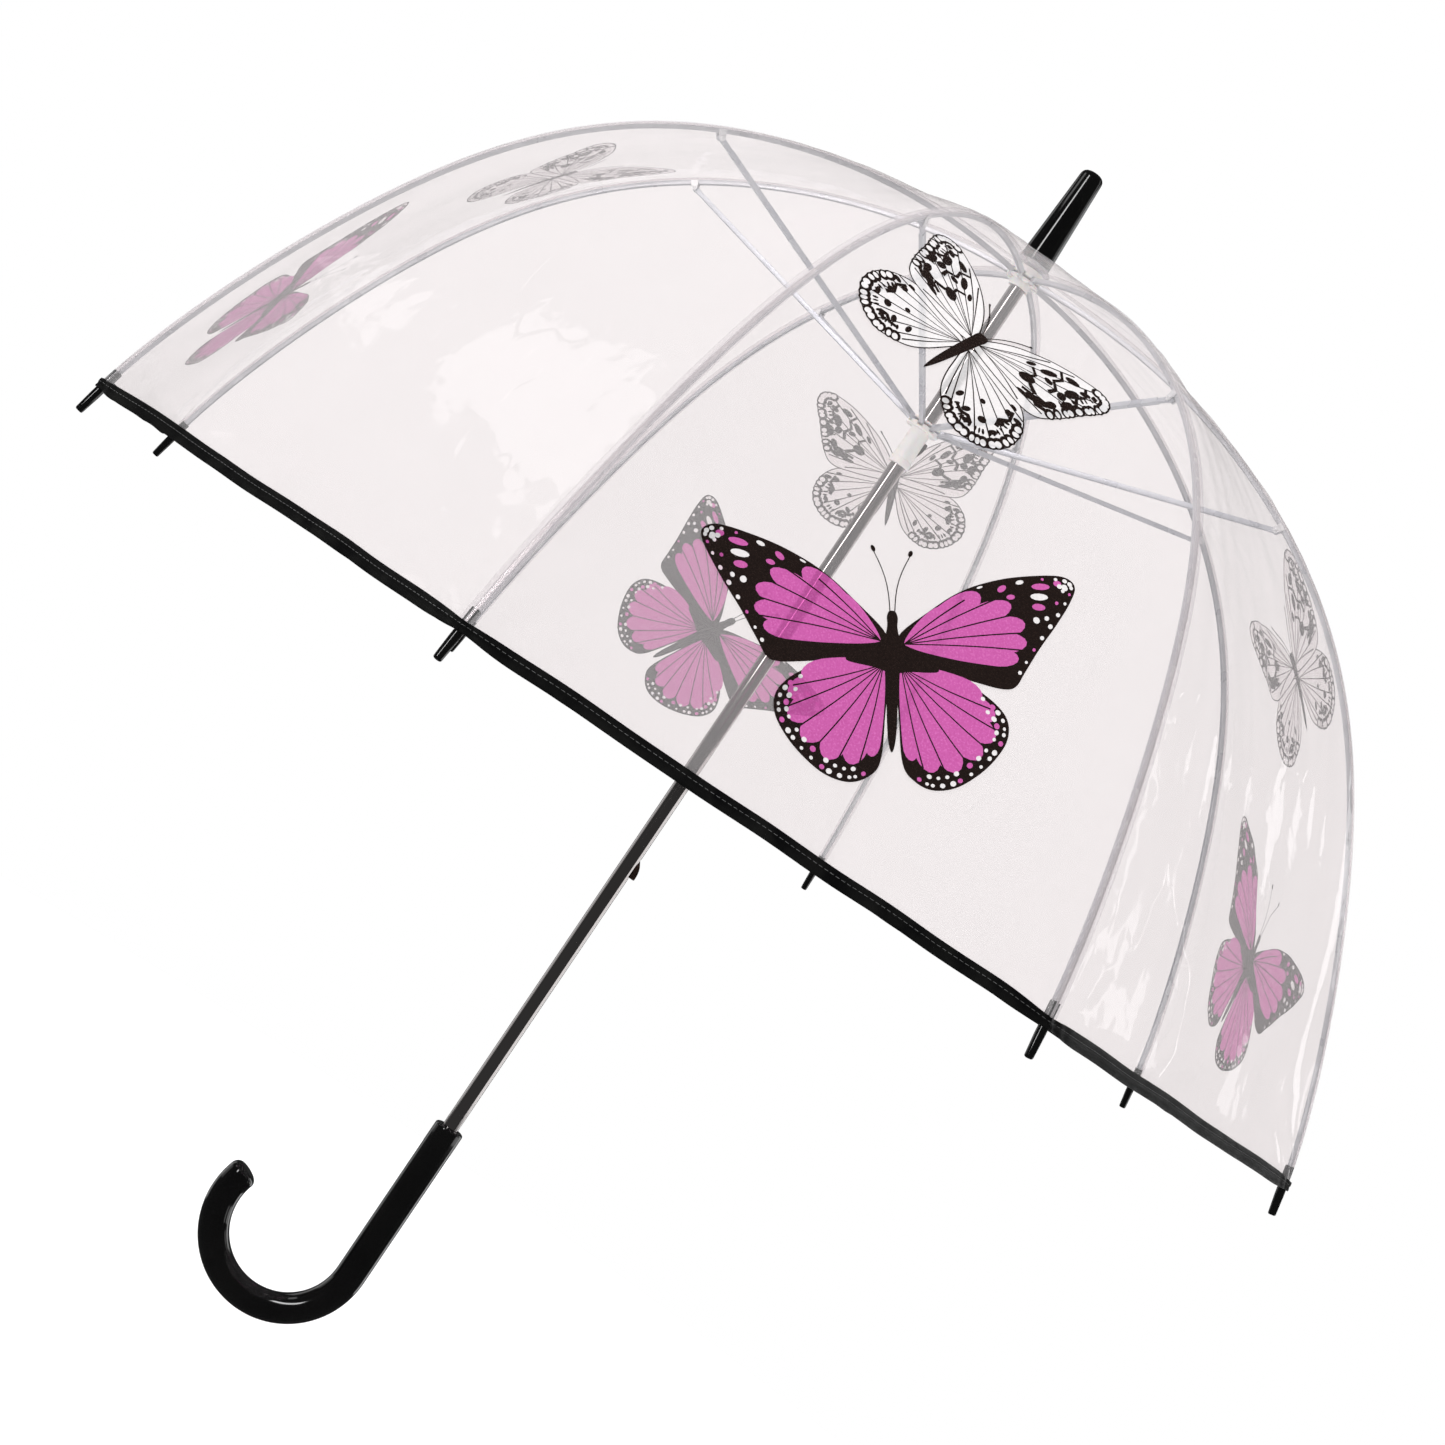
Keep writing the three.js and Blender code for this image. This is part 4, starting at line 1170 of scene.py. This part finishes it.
def celled(root, cells, first_vein, bow, width):
    """Petal-shaped cells of a wing from one root, and the dark veins between them."""
    layers = [(PINK, petal(root, end, wide, full)) for end, wide, full in cells]
    for (end, _, _), (after, _, _) in zip(cells[first_vein:], cells[first_vein + 1:]):
        meet = (Vector(end) + Vector(after)) / 2
        layers.append((DARK, stroke(bent_line(root, root.lerp(meet, 1.02), bow), width, 0.75)))
    return layers


def pink_wing():
    """Right-hand wings of the pink butterfly, as (ink, outline), lowest first."""
    fore = anticlockwise(smooth_loop([
        (3, 22), (18, 36), (35, 49), (55, 58), (75, 63), (89, 64.5), (95, 60), (92, 51), (84, 38), (75, 25),
        (67, 12), (62, 4), (56, 2), (44, 3.5), (28, 6.5), (4, 11)]))
    hind = anticlockwise(smooth_loop([
        (3, 11), (22, 7), (38, 2.5), (50, -4.5), (57, -13), (57, -23), (51, -33), (42, -42), (31, -49),
        (20, -51), (11, -47.5), (5.5, -40), (3.5, -20)]))
    # cells: far end, width, and where along it the cell is widest
    fore_cells = [((28, 40), 8, 0.66), ((45, 49), 12.5, 0.7), ((61, 46), 11, 0.76), ((68, 37), 11, 0.8),
                  ((68.5, 27.5), 11, 0.8), ((64, 18.5), 10.5, 0.8)]
    hind_cells = [((25, 4.2), 3.6, 0.6), ((45, -3.5), 13, 0.72), ((51, -13), 13, 0.78),
                  ((50.5, -24), 13.5, 0.78), ((43.5, -33.5), 14, 0.78), ((32.5, -41), 14, 0.78),
                  ((20.5, -42.5), 13, 0.78), ((10, -38), 7.5, 0.84)]
    layers = [(DARK, hind), (DARK, fore)]
    layers += celled(Vector((6, 18.5)), fore_cells, 0, 0.8, 0.55)
    layers += celled(Vector((4.5, 7)), hind_cells, 1, -0.8, 0.5)
    # spots: ink, place, length, width and lean
    spots = [(PINK, (86, 60.4), 4.2, 3.2, 0), (PINK, (77, 57.5), 10, 3.4, 8), (WHITE, (76, 52), 9.5, 3.6, 6),
             (PINK, (75.5, 46.6), 7, 3.6, 4), (WHITE, (66, 58.2), 4.4, 2.2, 20),
             (PINK, (56.5, 53.5), 5.4, 3, 38), (PINK, (61, 49.8), 4.6, 2.6, 14),
             (WHITE, (45, 52.6), 3.4, 1.1, 24), (WHITE, (74, 39.5), 3.4, 3.4, 0)]
    layers += [(colour, oval(place, long, wide, lean)) for colour, place, long, wide, lean in spots]
    # rows of dots: outline, first and last point of the stretch, count, distance from the edge, and size
    rows = [(fore, 33, 72, 13, 2.0, 1.9), (fore, 46, 68, 6, 5.6, 2.3), (hind, 17, 63, 17, 2.3, 2.1),
            (hind, 20, 60, 12, 6.0, 2.2)]
    for row, (outline, first, last, count, depth, size) in enumerate(rows):
        for k, (place, wide, lean) in enumerate(margin_dots(outline, first, last, count, depth, size)):
            colour = PINK if (k + row) % 5 == 2 else WHITE
            layers.append((colour, oval(place, wide * 1.15, wide, lean, 10)))
    return layers


# ink, distance from the edge, size, how much longer a mark is than its size, and how tall
MARGIN_MARKS = ((DARK, 3.2, 4.6, 1.45, 7.4), (WHITE, 2.7, 3.6, 0.95, 4.2), (DARK, 9.4, 1.6, 1, 3.6))


def pale_wing():
    """Right-hand wings of the black and white butterfly, as (ink, outline), lowest first."""
    fore = anticlockwise(smooth_loop([
        (2, 23), (14, 43), (33, 61), (52, 71), (63, 70), (66.5, 60), (62, 44), (57, 26), (50, 14), (36, 10.5),
        (3, 12)]))
    hind = anticlockwise(smooth_loop([
        (2, 10), (22, 12), (40, 12), (51, 5), (57, -6), (57, -18), (51, -28), (42, -34), (31, -36), (21, -32),
        (12, -24), (5, -8)]))
    hind_ends = [(50, 5), (54, -4), (55, -13), (51.5, -22), (45, -29), (36, -33), (26.5, -32), (18, -26)]
    fore_ends = [(28, 55), (41, 63), (53, 66), (60, 62), (60.5, 52), (58, 42), (55, 31), (51, 20), (38, 13)]
    # wings: outline, root and ends of the veins, and the stretch of margin with marks, with their count
    wings = ((hind, Vector((3, 8)), hind_ends, (15, 52, 15)),
             (fore, Vector((3, 17)), fore_ends, (22, 47, 15)))
    layers = []
    for outline, root, ends, (first, last, count) in wings:
        layers += [(DARK, outline), (WHITE, inset(outline, 0.75))]
        for k, end in enumerate(ends):
            layers.append((DARK, stroke(bent_line(root, end, 1.2 * sin(1.7 * k)), 0.35, 0.95)))
        for colour, depth, size, stretch, tall in MARGIN_MARKS:
            for place, wide, lean in margin_dots(outline, first, last, count, depth, size):
                layers.append((colour, oval(place, wide * stretch, tall, lean)))
    # blots: place, length, width and lean
    blots = [((49, 50), 9, 4.6, 70), ((43, 58.5), 8, 3.6, 30), ((52.5, 59), 6, 3, 40), ((53, 40), 8, 3.6, 80),
             ((47.5, 42), 5, 5, 10), ((33, 47), 10, 3.4, 55), ((37, 42), 5, 3, 10), ((30, 30), 9, 5.2, 35),
             ((43, 24), 13, 4.2, 30), ((49, 30), 7, 4, 70), ((36.5, 19.5), 8, 2.4, 12),
             ((24, 41), 6, 2.2, 60), ((42, 1), 3.8, 3.2, 0), ((44.5, -8), 4.4, 3.6, 20),
             ((38.5, -17), 4.6, 3.4, 50), ((41, 6.5), 4, 2, 0), ((29.5, -21), 5, 2.6, 60),
             ((21, -17.5), 5, 2.4, 80), ((30.5, -8.5), 3, 2.4, 0), ((47, -16.5), 5.2, 2.4, 60),
             ((34.5, -26), 5, 2.4, 30), ((48.5, 2), 5, 2.4, 10)]
    layers += [(DARK, oval(place, 1.15 * long, 1.3 * wide, lean)) for place, long, wide, lean in blots]
    bars = [[(35, 57), (40, 52), (38, 46), (43, 42), (42, 36)],
            [(50, 63), (54, 57), (52, 51), (56, 46), (54, 39)],
            [(26, 40), (31, 37), (30, 31), (35, 28), (40, 26)], [(33, 22), (39, 24), (45, 21), (50, 24)],
            [(43, 4), (46, -2), (43, -7), (45, -12)], [(24, -23), (29, -25), (33, -23), (37, -25)]]
    layers += [(DARK, stroke(points, 2.0, 2.8)) for points in bars]
    return layers


def mirrored(layers):
    """The left-hand wings."""
    return [(colour, [(-x, y) for x, y in outline][::-1]) for colour, outline in layers]


def both_sides(points):
    """A closed outline from its right-hand half."""
    return points + [(-x, y) for x, y in reversed(points) if x > 0]


def feelers(start, end, bow, widths, club):
    """Two thin curved feelers, each with a club at its end, given as place, length, width and lean."""
    layers = []
    for side in (1, -1):
        line = bent_line((side * start[0], start[1]), (side * end[0], end[1]), side * bow)
        layers.append((DARK, stroke(line, *widths)))
        (x, y), long, wide, lean = club
        layers.append((DARK, oval((side * x, y), long, wide, side * lean)))
    return layers


def pink_butterfly():
    """The layers of the whole pink butterfly."""
    wing = pink_wing()
    body = smooth_loop(both_sides([(0, -35), (2.0, -28), (2.9, -8), (3.1, 4), (4.4, 10), (4.6, 17), (3.2, 23),
                                   (2.6, 27), (2.8, 31), (1.5, 34)]), 4)
    shoulders = smooth_loop(both_sides([(0, 19), (12, 14.5), (22, 9.4), (22, 6.4), (8, 5), (0, 3)]), 4)
    layers = wing + mirrored(wing) + [(DARK, shoulders), (DARK, body)]
    return layers + feelers((1.2, 33), (9.2, 63), 2.2, (0.55, 0.5), ((9.6, 64.6), 3.6, 2.2, 65))


def pale_butterfly():
    """The layers of the whole black and white butterfly."""
    wing = pale_wing()
    body = smooth_loop(both_sides([(0, -26), (1.6, -18), (2.6, -4), (3.2, 10), (3.4, 18), (3.6, 23),
                                   (2.2, 26)]), 4)
    layers = wing + mirrored(wing) + [(DARK, body)]
    return layers + feelers((1.2, 25), (15.5, 50), 1.5, (0.6, 0.9), ((15.9, 50.8), 2.6, 1.4, 60))


def flat_print(layers, place, lean, size=1.0, grid=4.5):
    """Triangles of a print in a gore's own (across, rise) millimetres, each with its topmost ink, and split
    where the gore bends."""
    turn = radians(lean)
    c, s = size * cos(turn), size * sin(turn)
    points, loops = [], []
    for _, outline in layers:
        outline = anticlockwise(outline)
        loops.append(list(range(len(points), len(points) + len(outline))))
        points += [Vector((place[0] + x * c - y * s, place[1] + x * s + y * c)) for x, y in outline]
    low = [min(p[k] for p in points) for k in (0, 1)]
    high = [max(p[k] for p in points) for k in (0, 1)]
    bend = FLEX_RISE / MM
    edges = []
    if low[1] < bend < high[1]:
        edges.append((len(points), len(points) + 1))
        points += [Vector((low[0] - 1, bend)), Vector((high[0] + 1, bend))]
    for x in np.arange(low[0], high[0], grid):
        points += [Vector((float(x), float(y))) for y in np.arange(low[1], high[1], grid)]
    verts, _, faces, _, _, sources = delaunay_2d_cdt(points, edges, loops, 1, 1e-4)
    inked = [(face, layers[max(source)][0]) for face, source in zip(faces, sources) if source]
    return verts, inked


def add_print(name, flat, number, part):
    """The part of a flat print that lies on one half of a gore, laid onto the film."""
    verts, inked = flat
    bend = FLEX_RISE / MM
    chosen = []
    for face, colour in inked:
        middle = sum(verts[k].y for k in face) / len(face)
        if (middle > bend) == (part == "inner"):
            chosen.append((face, colour))
    used = sorted({k for face, _ in chosen for k in face})
    index = {k: position for position, k in enumerate(used)}
    points = [film_place(number, verts[k].y * MM, verts[k].x * MM, FILM_LAYER + PRINT_LIFT) for k in used]
    layer = add_piece(name, (points, [tuple(index[k] for k in face) for face, _ in chosen]), PINK_INK,
                      sharp=180, weld=False)
    layer.data.materials.append(DARK_INK)
    layer.data.materials.append(WHITE_INK)
    layer.data.polygons.foreach_set("material_index", [colour for _, colour in chosen])
    fold_with_canopy(layer, number, part)


# ---- Assembly ----
PRINTED_GORES = (1, 3, 5, 7)
PINK_PLACE, PINK_LEAN = (17, 100), 29  # across and up from the hem, in millimetres, and the lean in degrees
PALE_PLACE, PALE_LEAN, PALE_SIZE = (-36.5, 283), -23, 0.98


def build():
    """The stage, then every piece of the umbrella."""
    add_stage()
    add_shaft()
    add_handle()
    add_ferrule()
    add_cap_washer()
    add_crown_notch()
    add_runner()
    add_wire("crown_tie_wire", "crown_wire", CROWN.z, "stem")
    add_wire("runner_tie_wire", "runner_wire", RUNNER_Z, "runner_body")
    add_catch("top_spring_catch", "top_catch", "top_catch_body", True)
    add_catch("bottom_spring_catch", "bottom_catch", "bottom_catch_body", False)
    for number in NUMBERS:
        add_rib(number)
        add_rib_fittings(number)
        add_stretcher(number)
        add_tip(number)
    for number in NUMBERS:
        add_gore(number, [add_hem(number), add_stitches(number), add_seam(number)])
    pink = flat_print(pink_butterfly(), PINK_PLACE, PINK_LEAN)
    pale = flat_print(pale_butterfly(), PALE_PLACE, PALE_LEAN, PALE_SIZE)
    for number in PRINTED_GORES:
        add_print(f"pink_butterfly_{number}", pink, number, "outer")
        add_print(f"pale_butterfly_upper_{number}", pale, number, "inner")
        add_print(f"pale_butterfly_lower_{number}", pale, number, "outer")


build()
